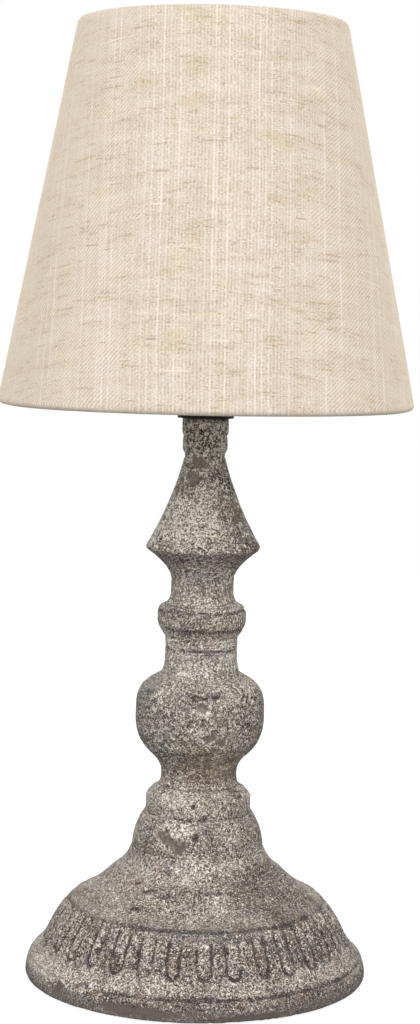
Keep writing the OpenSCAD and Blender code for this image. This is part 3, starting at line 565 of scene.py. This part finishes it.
def stone_piece(name, node, material, foot=False):
    """A turned piece with its crust, chips and lines, standing for its node."""
    line, low, top = stone_side(node, foot)
    around = WHOLE_TURN * line[:, 0].max() / STONE_SPACING
    segments = FOOT_SEGMENTS if foot else int(round(around / SEGMENTS_STEP)) * SEGMENTS_STEP
    radius, angle, height = turned_points(line, segments)
    places = in_space(radius, angle, height).reshape(-1, 3)
    where = (places, radius.ravel(), np.degrees(angle).ravel(), height.ravel())
    chips, carved, rise = stone_relief(where, foot)
    ends = np.minimum(np.arange(len(line)), np.arange(len(line))[::-1])
    rise = rise.reshape(radius.shape) * np.clip(ends / EDGE_ROWS, 0, 1)[:, None]
    square = outward_of(line)
    outer = (radius + rise * square[:, :1], angle, np.clip(height + rise * square[:, 1:], low, top))
    inner = turned_points(stone_inside(line, foot, low, top), segments)
    points = in_space(*map(np.vstack, zip(outer, inner))).reshape(-1, 3)
    faces, _ = lathe_faces(len(points) // segments, segments)
    piece = new_object(name, points * MM, faces, material)
    values = {
        "wear": chips,
        "carved": np.clip(carved, -1, 1),
        # tone carries painted shade and painted light from the patches as well as the paint's own tone
        "tone": tone_with_painted_shade(*where),
        "cool": patches(*where, HUES, 101),
        "calm": patches(*where, CALMS, 103),
    }
    for value, amounts in values.items():
        write_value(piece, value, np.concatenate([amounts, np.zeros(inner[0].size)]))
    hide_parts(node)
    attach(piece, "base")


def foot_rows(line):
    """The foot's outline with close rows over the band and wider ones elsewhere."""
    in_band = (line[:, 1] > BAND_LOW - BAND_MARGIN) & (line[:, 1] < BAND_TOP + BAND_MARGIN)
    in_band &= line[:, 0] > BAND_TOP_RADIUS - BAND_DEEP_MARGIN
    first, last = np.flatnonzero(in_band)[[0, -1]]
    below = spaced(line[: first + 1], FOOT_SPACING)
    band = spaced(line[first : last + 1], BAND_SPACING)
    above = spaced(line[last:], FOOT_SPACING)
    return np.vstack([below, band[1:], above[1:]])


def curl_width():
    """How far the foot's rim turns in under the lamp."""
    tree = surface_of("foot_shell")
    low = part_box("foot_shell")[0].z / MM + RAY_STEP
    return radius_from(tree, low, 0.0) - radius_from(tree, low, 0.0, outward=True)


# The shade's cloth


def cloth_loop():
    """The closed section of the cloth: up its outside and down its inside."""
    outer = spaced(side_of("shade_cover"), CLOTH_SPACING)
    inner = side_of("shade_cover", outward=True)[::-1]
    loop = spaced(np.vstack([outer, inner, outer[:1]]), CLOTH_SOFTNESS / SMOOTH_STEPS)[:-1]
    return smoothed(np.vstack([loop[-SMOOTH_REACH:], loop, loop[:SMOOTH_REACH]]))


def thinned(loop):
    """The loop with close steps at the hems and wide ones where the lining faces it."""
    low, top = loop[:, 1].min(), loop[:, 1].max()
    inner_from = int(np.argmax(loop[:, 1]))
    kept = [loop[0]]
    for i, point in enumerate(loop[1:], 1):
        if min(point[1] - low, top - point[1]) < HEM_FINE:
            spacing = HEM_SPACING
        else:
            spacing = CLOTH_INNER_SPACING if i > inner_from else CLOTH_SPACING
        if np.hypot(*(point - kept[-1])) >= spacing:
            kept.append(point)
    return np.array(kept)


def cloth_piece(material):
    """The shade's linen with its lap at the back, its section, and where its inside begins."""
    loop = thinned(cloth_loop())
    inner_from = int(np.argmax(loop[:, 1]))
    low, top = loop[:, 1].min(), loop[:, 1].max()
    square = outward_of(np.vstack([loop[-1:], loop, loop[:1]]))[1:-1]
    radius, angle, height = turned_points(loop, CLOTH_SEGMENTS)
    places = in_space(radius, angle, height).reshape(-1, 3)
    wave = CLOTH_WAVE * rough_noise(places, CLOTH_WAVE_SIZE, 83).reshape(radius.shape)
    outside = (np.arange(len(loop)) < inner_from)[:, None]
    from_seam = radius * np.radians(apart(np.degrees(angle), 180))
    lap = LAP_RISE * step_up(from_seam, -LAP_EDGE, LAP_EDGE)
    lap = lap * step_up(LAP_WIDTH - from_seam, -LAP_FADE, LAP_FADE)
    rise = wave + np.where(outside, lap, 0)
    radius = radius + rise * square[:, :1]
    height = np.clip(height + rise * square[:, 1:], low, top)
    points = in_space(radius, angle, height).reshape(-1, 3)
    faces, corners = lathe_faces(len(loop), CLOTH_SEGMENTS)
    piece = new_object("shade_cloth", points * MM, faces, material)
    write_cloth_map(piece, loop, corners, cone_sine(loop, inner_from))
    return piece, loop, inner_from


def cone_sine(loop, inner_from):
    """Sine of half the shade's cone angle."""
    low, top = loop[HEM_ROWS], loop[inner_from - HEM_ROWS]
    return (low[0] - top[0]) / math.hypot(*(top - low))


def bulb_piece(material):
    """The bulb's glass, smooth all round, from its node's own section."""
    outer = side_of("bulb_glass")
    inner = side_of("bulb_glass", outward=True)
    inner = inner[outer[:, 0] - inner[:, 0] > BULB_WALL_LEAST][::-1]
    outside = spaced(np.vstack([outer, (0, outer[-1][1])]), BULB_SPACING)
    inside = spaced(np.vstack([(0, inner[0][1]), inner]), BULB_SPACING)
    loop = np.vstack([outside, inside])
    points = in_space(*turned_points(loop, BULB_SEGMENTS)).reshape(-1, 3)
    faces, _ = lathe_faces(len(loop), BULB_SEGMENTS)
    piece = new_object("bulb_envelope", points * MM, faces, material)
    welded = bmesh.new()
    welded.from_mesh(piece.data)
    bmesh.ops.remove_doubles(welded, verts=welded.verts, dist=WELD)
    welded.to_mesh(piece.data)
    welded.free()
    return piece


def write_cloth_map(piece, loop, corners, sine):
    """Places in the flat cloth, in millimetres: threads run straight before the sheet is bent."""
    radii = np.stack([loop[row % len(loop), 0] for row, _ in corners], axis=1)
    angles = np.stack([turn * WHOLE_TURN / CLOTH_SEGMENTS for _, turn in corners], axis=1)
    angles = np.where(angles > math.pi, angles - WHOLE_TURN, angles)
    seam = angles.max(1) - angles.min(1) > math.pi
    angles[seam] = np.where(angles[seam] < 0, angles[seam] + WHOLE_TURN, angles[seam])
    away = radii / sine
    across = away * np.sin(angles * sine)
    along = -away * np.cos(angles * sine)
    flat = np.stack([across, along], axis=-1).reshape(-1, 2)
    layer = piece.data.uv_layers.new(name="cloth")
    layer.data.foreach_set("uv", np.ascontiguousarray(flat, dtype=np.float32).ravel())


# Materials


def shade_of(red, green, blue):
    """A colour given as it shows on a screen, from 0 to 255, as the shader's own."""
    def linear(value):
        value /= 255
        return value / 12.92 if value <= 0.04045 else ((value + 0.055) / 1.055) ** 2.4
    return (linear(red), linear(green), linear(blue), 1)


MATERIALS = {}


class Recipe:
    """Builds one material; a value is a number, a colour or another node's output."""

    def __init__(self, name):
        self.name = name
        self.material = bpy.data.materials.new(name)
        self.material.use_nodes = True
        self.tree = self.material.node_tree
        self.tree.nodes.clear()

    def add(self, kind, values=(), output=0, **settings):
        """A new node with its sockets and settings filled in; gives one of its outputs."""
        node = self.tree.nodes.new(kind)
        for name, value in settings.items():
            setattr(node, name, value)
        for socket, value in dict(values).items():
            self.give(node.inputs[socket], value)
        return node.outputs[output]

    def give(self, socket, value):
        """Links or sets a socket, and leaves it alone where there is no value."""
        if isinstance(value, bpy.types.NodeSocket):
            self.tree.links.new(value, socket)
        elif value is not None:
            socket.default_value = value

    def place(self):
        """Places on the object, in millimetres."""
        here = self.add("ShaderNodeTexCoord", output="Object")
        return self.stretched(here, (1 / MM, 1 / MM, 1 / MM))

    def stretched(self, place, factors):
        return self.add("ShaderNodeVectorMath", {0: place, 1: factors}, operation="MULTIPLY")

    def joined(self, first, second, third):
        return self.add("ShaderNodeCombineXYZ", {0: first, 1: second, 2: third})

    def ridge(self, count):
        """1 on the back of each thread and 0 half way to the next; count grows by 1 a thread."""
        return self.sum(self.times(self.math("COSINE", self.times(count, WHOLE_TURN)), 0.5), 0.5)

    def part(self, place, axis):
        """One coordinate of a place."""
        return self.add("ShaderNodeSeparateXYZ", {0: place}, output=axis)

    def noise(self, place, size, detail=2.0, roughness=0.5, distortion=0.0):
        """Noise from 0 to 1 whose lumps are about as wide as size."""
        values = {"Vector": place, "Scale": 1 / size, "Detail": detail}
        values |= {"Roughness": roughness, "Distortion": distortion}
        return self.add("ShaderNodeTexNoise", values)

    def math(self, operation, first, second=0.0, clamp=False):
        return self.add("ShaderNodeMath", {0: first, 1: second}, operation=operation, use_clamp=clamp)

    def sum(self, *terms):
        total = terms[0]
        for term in terms[1:]:
            total = self.math("ADD", total, term)
        return total

    def times(self, value, factor):
        return self.math("MULTIPLY", value, factor)

    def between(self, value, low, high, to_low=0.0, to_high=1.0):
        """The value moved from one range to another, smooth at both ends."""
        values = {"Value": value, "From Min": low, "From Max": high, "To Min": to_low, "To Max": to_high}
        return self.add("ShaderNodeMapRange", values, interpolation_type="SMOOTHSTEP")

    def mix(self, share, first, second):
        """The first colour where share is 0 and the second where it is 1."""
        values = {0: share, 6: first, 7: second}
        return self.add("ShaderNodeMix", values, output=2, data_type="RGBA", blend_type="MIX")

    def blended(self, share, first, second):
        """The first number where share is 0 and the second where it is 1."""
        return self.sum(first, self.times(self.math("SUBTRACT", second, first), share))

    def ramp(self, value, stops):
        """A colour for each value, from stops of position and colour."""
        node = self.tree.nodes.new("ShaderNodeValToRGB")
        self.give(node.inputs[0], value)
        elements = node.color_ramp.elements
        while len(elements) < len(stops):
            elements.new(0.5)
        for element, (position, colour) in zip(elements, stops):
            element.position = position
            element.color = colour
        return node.outputs[0]

    def point_value(self, name):
        """A number that write_value has put on each point."""
        return self.add("ShaderNodeAttribute", output="Fac", attribute_name=name)

    def bump(self, height, distance):
        """A normal from a height, whose full range is a distance in millimetres."""
        return self.add("ShaderNodeBump", {"Height": height, "Distance": distance * MM, "Strength": 1.0})

    def finish(self, colour, roughness, normal, **more):
        """Puts the material in MATERIALS; more holds other sockets of the shader by name."""
        values = {"Base Color": colour, "Roughness": roughness, "Normal": normal}
        values |= {name.replace("_", " "): value for name, value in more.items()}
        shader = self.add("ShaderNodeBsdfPrincipled", values)
        self.add_output(shader)
        MATERIALS[self.name] = self.material

    def add_output(self, shader):
        output = self.tree.nodes.new("ShaderNodeOutputMaterial")
        self.tree.links.new(shader, output.inputs["Surface"])


def paint_grain(r, here, calm):
    """The paint's grain, about 0, and its height, from flakes of two sizes, sand and clouds."""
    fine_flakes = r.noise(here, 1.1, detail=3.0, roughness=0.7, distortion=0.3)
    coarse_flakes = r.noise(here, 2.0, detail=4.0, roughness=0.72, distortion=0.8)
    coarse_share = r.between(r.noise(here, 11.0, detail=2.0), 0.42, 0.60, 0.0, 0.75)
    coarse_share = r.math("ADD", coarse_share, r.times(calm, -0.8), clamp=True)
    flakes = r.blended(coarse_share, fine_flakes, coarse_flakes)
    sand = r.noise(here, 0.65, detail=2.0, roughness=0.6)
    clouds = r.noise(here, 14.0, detail=4.0, roughness=0.6)
    grain = r.sum(flakes, r.times(sand, 0.8), r.times(clouds, 0.22), -1.014)
    grain = r.times(grain, r.math("SUBTRACT", 1.0, calm))
    return grain, r.sum(flakes, r.times(sand, 0.5))


def crust_colour(r, grain, tone, carved):
    """The crust from its dark hollows to its palest flakes, with carved hollows darker and raised borders
    paler, partly painted shade and painted highlight.
    """
    lumps = r.sum(grain, 0.5, r.times(tone, 0.085))
    # carved hollows darken and raised borders pale: partly dark paint in the hollows, partly painted
    # shade and painted highlight
    lumps = r.sum(lumps, r.times(carved, r.between(carved, -0.1, 0.1, 0.22, 0.09)))
    return r.ramp(lumps, (
        (0.32, shade_of(54, 47, 44)), (0.41, shade_of(96, 87, 80)), (0.47, shade_of(132, 122, 113)),
        (0.53, shade_of(166, 156, 146)), (0.59, shade_of(208, 199, 186)), (0.66, shade_of(248, 242, 230)),
    ))


def tinted(r, here, paint, cool, carved):
    """The crust with cooler, browner and violet places, pale specks and darker hollows, the hollows
    partly dark paint and partly painted shade.
    """
    hue = r.noise(here, 23.0, detail=3.0, roughness=0.55)
    cooler = r.sum(r.between(hue, 0.46, 0.62, 0.0, 0.10), r.times(cool, 0.24))
    browner = r.sum(r.between(hue, 0.54, 0.36, 0.0, 0.10), r.times(cool, -0.22))
    paint = r.mix(r.between(cooler, 0.0, 0.5, 0.0, 0.5), paint, shade_of(127, 125, 124))
    paint = r.mix(r.between(browner, 0.0, 0.5, 0.0, 0.5), paint, shade_of(142, 118, 96))
    tints = r.noise(here, 6.5, detail=3.0, roughness=0.65)
    paint = r.mix(r.between(tints, 0.53, 0.70, 0.0, 0.32), paint, shade_of(156, 136, 110))
    paint = r.mix(r.between(tints, 0.47, 0.30, 0.0, 0.30), paint, shade_of(129, 123, 131))
    specks = r.noise(here, 0.55, detail=1.0)
    paint = r.mix(r.between(specks, 0.63, 0.72, 0.0, 0.75), paint, shade_of(252, 247, 236))
    # the deepest hollows turn dark: partly dark paint held there, partly painted shade
    return r.mix(r.between(carved, -0.25, -0.9, 0.0, 0.4), paint, shade_of(88, 78, 80))


def bare_colour(r, here, grain, tone):
    """The smooth ground that shows where the crust has chipped off."""
    bare_tone = r.noise(here, 2.4, detail=4.0, roughness=0.65)
    bare_tone = r.sum(bare_tone, r.times(grain, 0.8), r.times(tone, 0.25))
    return r.mix(r.between(bare_tone, 0.3, 0.7), shade_of(96, 86, 80), shade_of(140, 128, 119))


def stone_paint():
    """Sandy grey-brown paint: pale flakes, dark pits, smooth chips, dark hollows partly painted shade,
    and patches of painted shade and light.
    """
    r = Recipe("stone_paint")
    here = r.place()
    names = ("wear", "carved", "tone", "cool", "calm")
    wear, carved, tone, cool, calm = (r.point_value(name) for name in names)
    grain, height = paint_grain(r, here, calm)
    paint = tinted(r, here, crust_colour(r, grain, tone, carved), cool, carved)
    colour = r.mix(wear, paint, bare_colour(r, here, grain, tone))
    crust = r.math("SUBTRACT", 1.0, r.times(wear, CHIP_CALM))
    roughness = r.between(wear, 0.0, 1.0, 0.92, 0.62)
    r.finish(colour, roughness, r.bump(r.times(height, crust), 0.7), Specular_IOR_Level=0.3)


def linen_threads(r):
    """What the linen's parts share: across and along count its threads, the rest are noises."""
    t = SimpleNamespace()
    sheet = r.add("ShaderNodeUVMap", uv_map="cloth")
    waver = r.noise(r.stretched(sheet, (0.03, 0.012, 1)), 1.0, detail=2.0)
    sway = r.noise(r.stretched(sheet, (0.012, 0.03, 5)), 1.0, detail=2.0)
    t.across = r.times(r.sum(r.part(sheet, "X"), r.times(waver, 3.0)), 1 / WARP_PITCH)
    t.along = r.times(r.sum(r.part(sheet, "Y"), r.times(sway, 5.0)), 1 / WEFT_PITCH)
    t.rib = r.ridge(t.across)
    t.warp_number, t.weft_number = r.math("ROUND", t.across), r.math("ROUND", t.along)
    t.warp_own = r.add("ShaderNodeTexWhiteNoise", {"W": t.warp_number}, noise_dimensions="1D")
    t.warp_part = r.noise(r.joined(r.times(t.warp_number, 5.17), r.times(t.along, 0.03), 0.0), 1.0)
    t.tints = r.noise(r.stretched(sheet, (0.05, 0.06, 4)), 1.0, detail=2.0)
    t.drifts = r.noise(r.stretched(sheet, (0.03, 0.12, 1)), 1.0, detail=4.0, roughness=0.75)
    fine = r.joined(r.times(t.across, 1.3), r.times(t.along, 1.1), 5.0)
    t.specks = r.noise(fine, 1.0, detail=2.0, roughness=0.75)
    zone = r.times(r.sum(r.part(sheet, "X"), -ZONE_MIDDLE), WHOLE_TURN / ZONE_WIDTH)
    wander = (r.times(r.sum(t.tints, -0.5), 2.4), r.times(r.sum(t.drifts, -0.5), 1.6))
    t.zone = r.sum(r.math("COSINE", zone), *wander)
    return t


def yarn_colour(r, t):
    """The yarn from thread to thread, with rosier, yellower and darker places."""
    pale = r.between(r.sum(r.times(t.warp_own, 0.45), r.times(t.warp_part, 0.55)), 0.3, 0.8)
    colour = r.mix(pale, shade_of(216, 203, 188), shade_of(229, 216, 204))
    colour = r.mix(r.between(t.tints, 0.54, 0.72, 0.0, 0.35), colour, shade_of(222, 205, 194))
    colour = r.mix(r.between(t.tints, 0.46, 0.28, 0.0, 0.45), colour, shade_of(218, 200, 166))
    return r.mix(r.between(t.drifts, 0.47, 0.70, 0.0, 0.22), colour, shade_of(202, 176, 136))


def woven(r, t, colour):
    """The colour with ribs in the middle of each zone and a twill between the zones; its height."""
    gap = r.sum(r.times(t.rib, 0.85), r.times(r.ridge(t.along), 0.15))
    broad = r.joined(r.times(t.across, 0.35), r.times(t.along, 0.22), 11.0)
    tightness = r.noise(broad, 1.0, detail=2.0)
    in_zone = r.between(t.zone, -0.7, 0.8, 0.30, 1.0)
    hollow = r.times(r.between(gap, 0.0, 0.85, 1.0, 0.0), r.between(tightness, 0.3, 0.7, 0.60, 0.12))
    colour = r.mix(r.times(hollow, in_zone), colour, shade_of(170, 151, 126))
    slope = r.math("SUBTRACT", r.times(t.across, TWILL_ACROSS), r.times(t.along, TWILL_ALONG))
    twill = r.sum(r.ridge(slope), r.times(r.sum(t.specks, -0.5), 2.6))
    off_zone = r.between(t.zone, 0.3, -0.9, 0.0, 1.0)
    low, high = r.between(twill, 0.55, 0.0), r.between(twill, 0.5, 1.1)
    colour = r.mix(r.times(low, r.times(off_zone, 0.40)), colour, shade_of(184, 158, 124))
    colour = r.mix(r.times(high, r.times(off_zone, 0.45)), colour, shade_of(254, 244, 230))
    return colour, r.sum(r.times(gap, in_zone), r.times(r.times(twill, off_zone), 0.5))


def flecked(r, t, colour):
    """The colour with specks, slubs, dots and single pale threads both ways; the slubs' height."""
    speckled = r.sum(t.specks, r.times(t.drifts, 0.30), -0.15)
    colour = r.mix(r.between(speckled, 0.53, 0.74, 0.0, 0.85), colour, shade_of(168, 144, 110))
    colour = r.mix(r.between(speckled, 0.47, 0.28, 0.0, 0.75), colour, shade_of(253, 243, 228))
    slub = r.noise(r.joined(r.times(t.across, 0.12), r.times(t.weft_number, 7.31), 3.0), 1.0, detail=1.5)
    slub = r.sum(slub, r.times(t.drifts, 0.34), r.times(t.specks, 0.55), -0.445)
    colour = r.mix(r.between(slub, 0.58, 0.76, 0.0, 0.55), colour, shade_of(166, 142, 108))
    dots = r.sum(t.specks, r.times(r.between(t.warp_own, 0.14, 0.02), 0.07))
    colour = r.mix(r.between(dots, 0.62, 0.78, 0.0, 0.45), colour, shade_of(150, 126, 92))
    long_part = r.between(t.warp_part, 0.42, 0.62, 0.05, 0.32)
    long_warp = r.times(r.between(t.warp_own, 0.80, 0.92), long_part)
    colour = r.mix(r.times(long_warp, r.between(t.rib, 0.3, 0.8)), colour, shade_of(255, 246, 232))
    weft_part = r.noise(r.joined(r.times(t.across, 0.045), r.times(t.weft_number, 5.93), 8.0), 1.0)
    colour = r.mix(r.between(weft_part, 0.64, 0.75, 0.0, 0.40), colour, shade_of(253, 241, 226))
    return colour, r.times(slub, 0.5)


def linen():
    """Natural linen: ribs in wide zones, a twill between them, specks, slubs and pale threads."""
    r = Recipe("linen")
    t = linen_threads(r)
    colour, weave_height = woven(r, t, yarn_colour(r, t))
    colour, slub_height = flecked(r, t, colour)
    r.finish(
        colour, 0.92, r.bump(r.sum(weave_height, slub_height), 0.1), Sheen_Weight=0.80,
        Sheen_Roughness=0.6, Sheen_Tint=shade_of(246, 230, 206), Specular_IOR_Level=0.2,
    )


def moulded(name, colour, roughness):
    """Moulded plastic with a fine grain and faint scuffs."""
    r = Recipe(name)
    here = r.place()
    grain = r.noise(here, 0.35, detail=2.0)
    scuffs = r.noise(r.stretched(here, (1, 1, 0.25)), 5.0, detail=5.0, roughness=0.7)
    pale = r.mix(r.between(scuffs, 0.5, 0.75, 0.0, 0.12), shade_of(*colour), shade_of(120, 116, 110))
    rough = r.between(scuffs, 0.3, 0.7, roughness - 0.08, roughness + 0.12)
    r.finish(pale, rough, r.bump(grain, 0.05), Specular_IOR_Level=0.2)


def plated(name, colour, roughness, lines=0.4):
    """Plated or bare metal with fine drawn lines and dulled places."""
    r = Recipe(name)
    here = r.place()
    drawn = r.noise(r.stretched(here, (0.3, 0.3, 3)), lines, detail=3.0)
    dull = r.noise(here, 4.0, detail=4.0, roughness=0.65)
    tone = r.mix(r.times(r.between(dull, 0.4, 0.7), 0.35), shade_of(*colour), shade_of(96, 88, 78))
    rough = r.between(dull, 0.3, 0.7, roughness, roughness + 0.22)
    r.finish(tone, rough, r.bump(drawn, 0.03), Metallic=1.0)


def mottled(name, low, high, lumps, roughness, bump, share=(0.4, 0.65), **more):
    """A surface whose colour runs between two tones in lumps, which its bump follows."""
    r = Recipe(name)
    lumpy = r.noise(r.place(), *lumps)
    tone = r.mix(r.between(lumpy, *share), shade_of(*low), shade_of(*high))
    r.finish(tone, roughness, r.bump(lumpy, bump), **more)


def lining_sheet():
    """White plastic lining with a fine pebble."""
    r = Recipe("white_lining")
    here = r.place()
    pebble = r.noise(here, 0.8, detail=2.0)
    clouds = r.noise(here, 30.0, detail=3.0)
    tone = r.mix(r.between(clouds, 0.35, 0.65), shade_of(233, 228, 218), shade_of(243, 239, 231))
    r.finish(tone, 0.55, r.bump(pebble, 0.05))


def cast_surface():
    """Raw cast iron, pitted and rusty in places."""
    r = Recipe("raw_iron")
    here = r.place()
    pits = r.noise(here, 1.1, detail=4.0, roughness=0.7)
    rust = r.noise(here, 9.0, detail=4.0, roughness=0.6)
    tone = r.mix(r.between(rust, 0.5, 0.7), shade_of(58, 57, 57), shade_of(96, 66, 48))
    r.finish(tone, 0.75, r.bump(pits, 0.35), Metallic=0.4)


def frosted_glass():
    """White frosted glass."""
    r = Recipe("bulb_glass")
    here = r.place()
    frost = r.noise(here, 0.6, detail=3.0)
    rough = r.between(frost, 0.3, 0.7, 0.34, 0.46)
    normal = r.bump(frost, 0.02)
    r.finish(shade_of(244, 243, 240), rough, normal, Transmission_Weight=0.35, IOR=1.46)


def glossy_black_glass():
    """The black glass that insulates a bulb's contact."""
    r = Recipe("black_glass")
    here = r.place()
    swirl = r.noise(here, 1.4, detail=3.0)
    tone = r.mix(swirl, shade_of(20, 16, 26), shade_of(42, 34, 52))
    r.finish(tone, 0.12, r.bump(swirl, 0.04))


def make_materials():
    """Makes a material for each slot of the record."""
    stone_paint()
    linen()
    lining_sheet()
    cast_surface()
    frosted_glass()
    glossy_black_glass()
    moulded("black_plastic", (26, 18, 13), 0.6)
    moulded("cream_plastic", (226, 220, 206), 0.5)
    plated("brass", (206, 170, 98), 0.26)
    plated("zinc_steel", (190, 190, 188), 0.32)
    plated("yellow_steel", (198, 176, 112), 0.34)
    plated("nickel", (214, 208, 198), 0.22)
    plated("filament_wire", (150, 150, 146), 0.3, 0.2)
    mottled("white_wire", (222, 219, 212), (238, 236, 231), lumps=(2.2, 3.0), share=(0.35, 0.65),
            roughness=0.35, bump=0.08, Coat_Weight=0.2)
    mottled("felt", (28, 27, 27), (62, 60, 58), lumps=(0.5, 4.0, 0.75, 1.5), share=(0.35, 0.65),
            roughness=1.0, bump=0.4, Sheen_Weight=0.3)
    mottled("plate_steel", (98, 96, 94), (126, 122, 117), lumps=(2.5, 4.0, 0.7),
            roughness=0.6, bump=0.06)
    mottled("black_rubber", (24, 24, 24), (52, 51, 50), lumps=(1.8, 4.0, 0.7), share=(0.45, 0.7),
            roughness=0.72, bump=0.05)
    mottled("solder", (176, 176, 174), (128, 127, 124), lumps=(0.9, 4.0, 0.7),
            roughness=0.38, bump=0.12, Metallic=1.0)


def dress_nodes():
    """Every node of the frame gets its slot's material."""
    for subpart in frame["record"]["subparts"]:
        mesh = NODES[subpart["node"]].data
        mesh.materials.clear()
        mesh.materials.append(MATERIALS[subpart["material_slot"]])


# The studio


def area_lamp(name, place, size, energy):
    """A square soft lamp that points at the middle of the object."""
    light = bpy.data.lights.new(name, "AREA")
    light.size = size
    light.energy = energy
    lamp = bpy.data.objects.new(name, light)
    way = Vector(LAMP_AIM) - Vector(place)
    lamp.matrix_world = Matrix.Translation(place) @ way.to_track_quat("-Z", "Y").to_matrix().to_4x4()
    bpy.context.scene.collection.objects.link(lamp)


def seen_directly(nodes, links):
    """1 for what the camera, a gloss or a glass sees, 0 for light that falls on the object."""
    path = nodes.new("ShaderNodeLightPath")
    total = path.outputs["Is Camera Ray"]
    for name in ("Is Glossy Ray", "Is Transmission Ray"):
        most = nodes.new("ShaderNodeMath")
        most.operation = "MAXIMUM"
        links.new(total, most.inputs[0])
        links.new(path.outputs[name], most.inputs[1])
        total = most.outputs[0]
    return total


def studio():
    """A white world that fills the shadows, a key lamp in front and a weaker one behind."""
    scene = bpy.context.scene
    scene.view_settings.view_transform = "Standard"
    world = bpy.data.worlds.new("world")
    scene.world = world
    world.use_nodes = True
    nodes, links = world.node_tree.nodes, world.node_tree.links
    background = nodes["Background"]
    background.inputs["Color"].default_value = (1, 1, 1, 1)
    strength = nodes.new("ShaderNodeMapRange")
    links.new(seen_directly(nodes, links), strength.inputs["Value"])
    strength.inputs["To Min"].default_value = FILL_LIGHT
    strength.inputs["To Max"].default_value = 1.0
    links.new(strength.outputs[0], background.inputs["Strength"])
    area_lamp("key", KEY_PLACE, KEY_SIZE, KEY_ENERGY)
    area_lamp("back", BACK_PLACE, BACK_SIZE, BACK_ENERGY)


def grey(tone):
    """A grey in the shader's own numbers."""
    return (tone, tone, tone, 1)


def floor():
    """A pale floor that shows as white and takes the object's shadow."""
    r = Recipe("floor_white")
    clouds = r.noise(r.place(), FLOOR_CLOUDS_MM)
    colour = r.mix(clouds, grey(FLOOR_TONE), grey(FLOOR_TONE + FLOOR_SPREAD))
    diffuse = r.add("ShaderNodeBsdfDiffuse", {"Color": colour})
    glow = r.times(seen_directly(r.tree.nodes, r.tree.links), FLOOR_GLOW)
    light = r.add("ShaderNodeEmission", {"Strength": glow})
    r.add_output(r.add("ShaderNodeAddShader", {0: diffuse, 1: light}))
    half = FLOOR_HALF
    corners = np.array([(-half, -half, 0), (half, -half, 0), (half, half, 0), (-half, half, 0)])
    new_object("floor", corners, np.array([(0, 1, 2, 3)]), r.material)


def camera():
    """A camera in front that looks a little down, turned by the photograph's roll."""
    data = bpy.data.cameras.new("camera")
    data.lens = LENS_MM
    data.sensor_width = SENSOR_MM
    eye = bpy.data.objects.new("camera", data)
    pitch = math.atan2(CAMERA_UP - AIM_UP, CAMERA_AWAY)
    turn = Matrix.Rotation(math.pi / 2 - pitch, 4, "X") @ Matrix.Rotation(math.radians(ROLL), 4, "Z")
    eye.matrix_world = Matrix.Translation((CAMERA_SIDE, -CAMERA_AWAY, CAMERA_UP)) @ turn
    bpy.context.scene.collection.objects.link(eye)
    bpy.context.scene.camera = eye


camera()
studio()
floor()
make_materials()
dress_nodes()

for piece_name, node_name in (
    ("step_stone", "step_collar"),
    ("bead_stone", "bead_collar"),
    ("vase_stone", "vase"),
    ("ring_stone", "ring_spool"),
    ("spire_stone", "cone_spire"),
    ("neck_stone", "neck_piece"),
):
    stone_piece(piece_name, node_name, MATERIALS["stone_paint"])
stone_piece("foot_stone", "foot_shell", MATERIALS["stone_paint"], foot=True)

cloth, cloth_section, cloth_inside = cloth_piece(MATERIALS["linen"])
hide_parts("shade_cover")
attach(cloth, "shade")
envelope = bulb_piece(MATERIALS["bulb_glass"])
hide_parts("bulb_glass")
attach(envelope, "bulb")
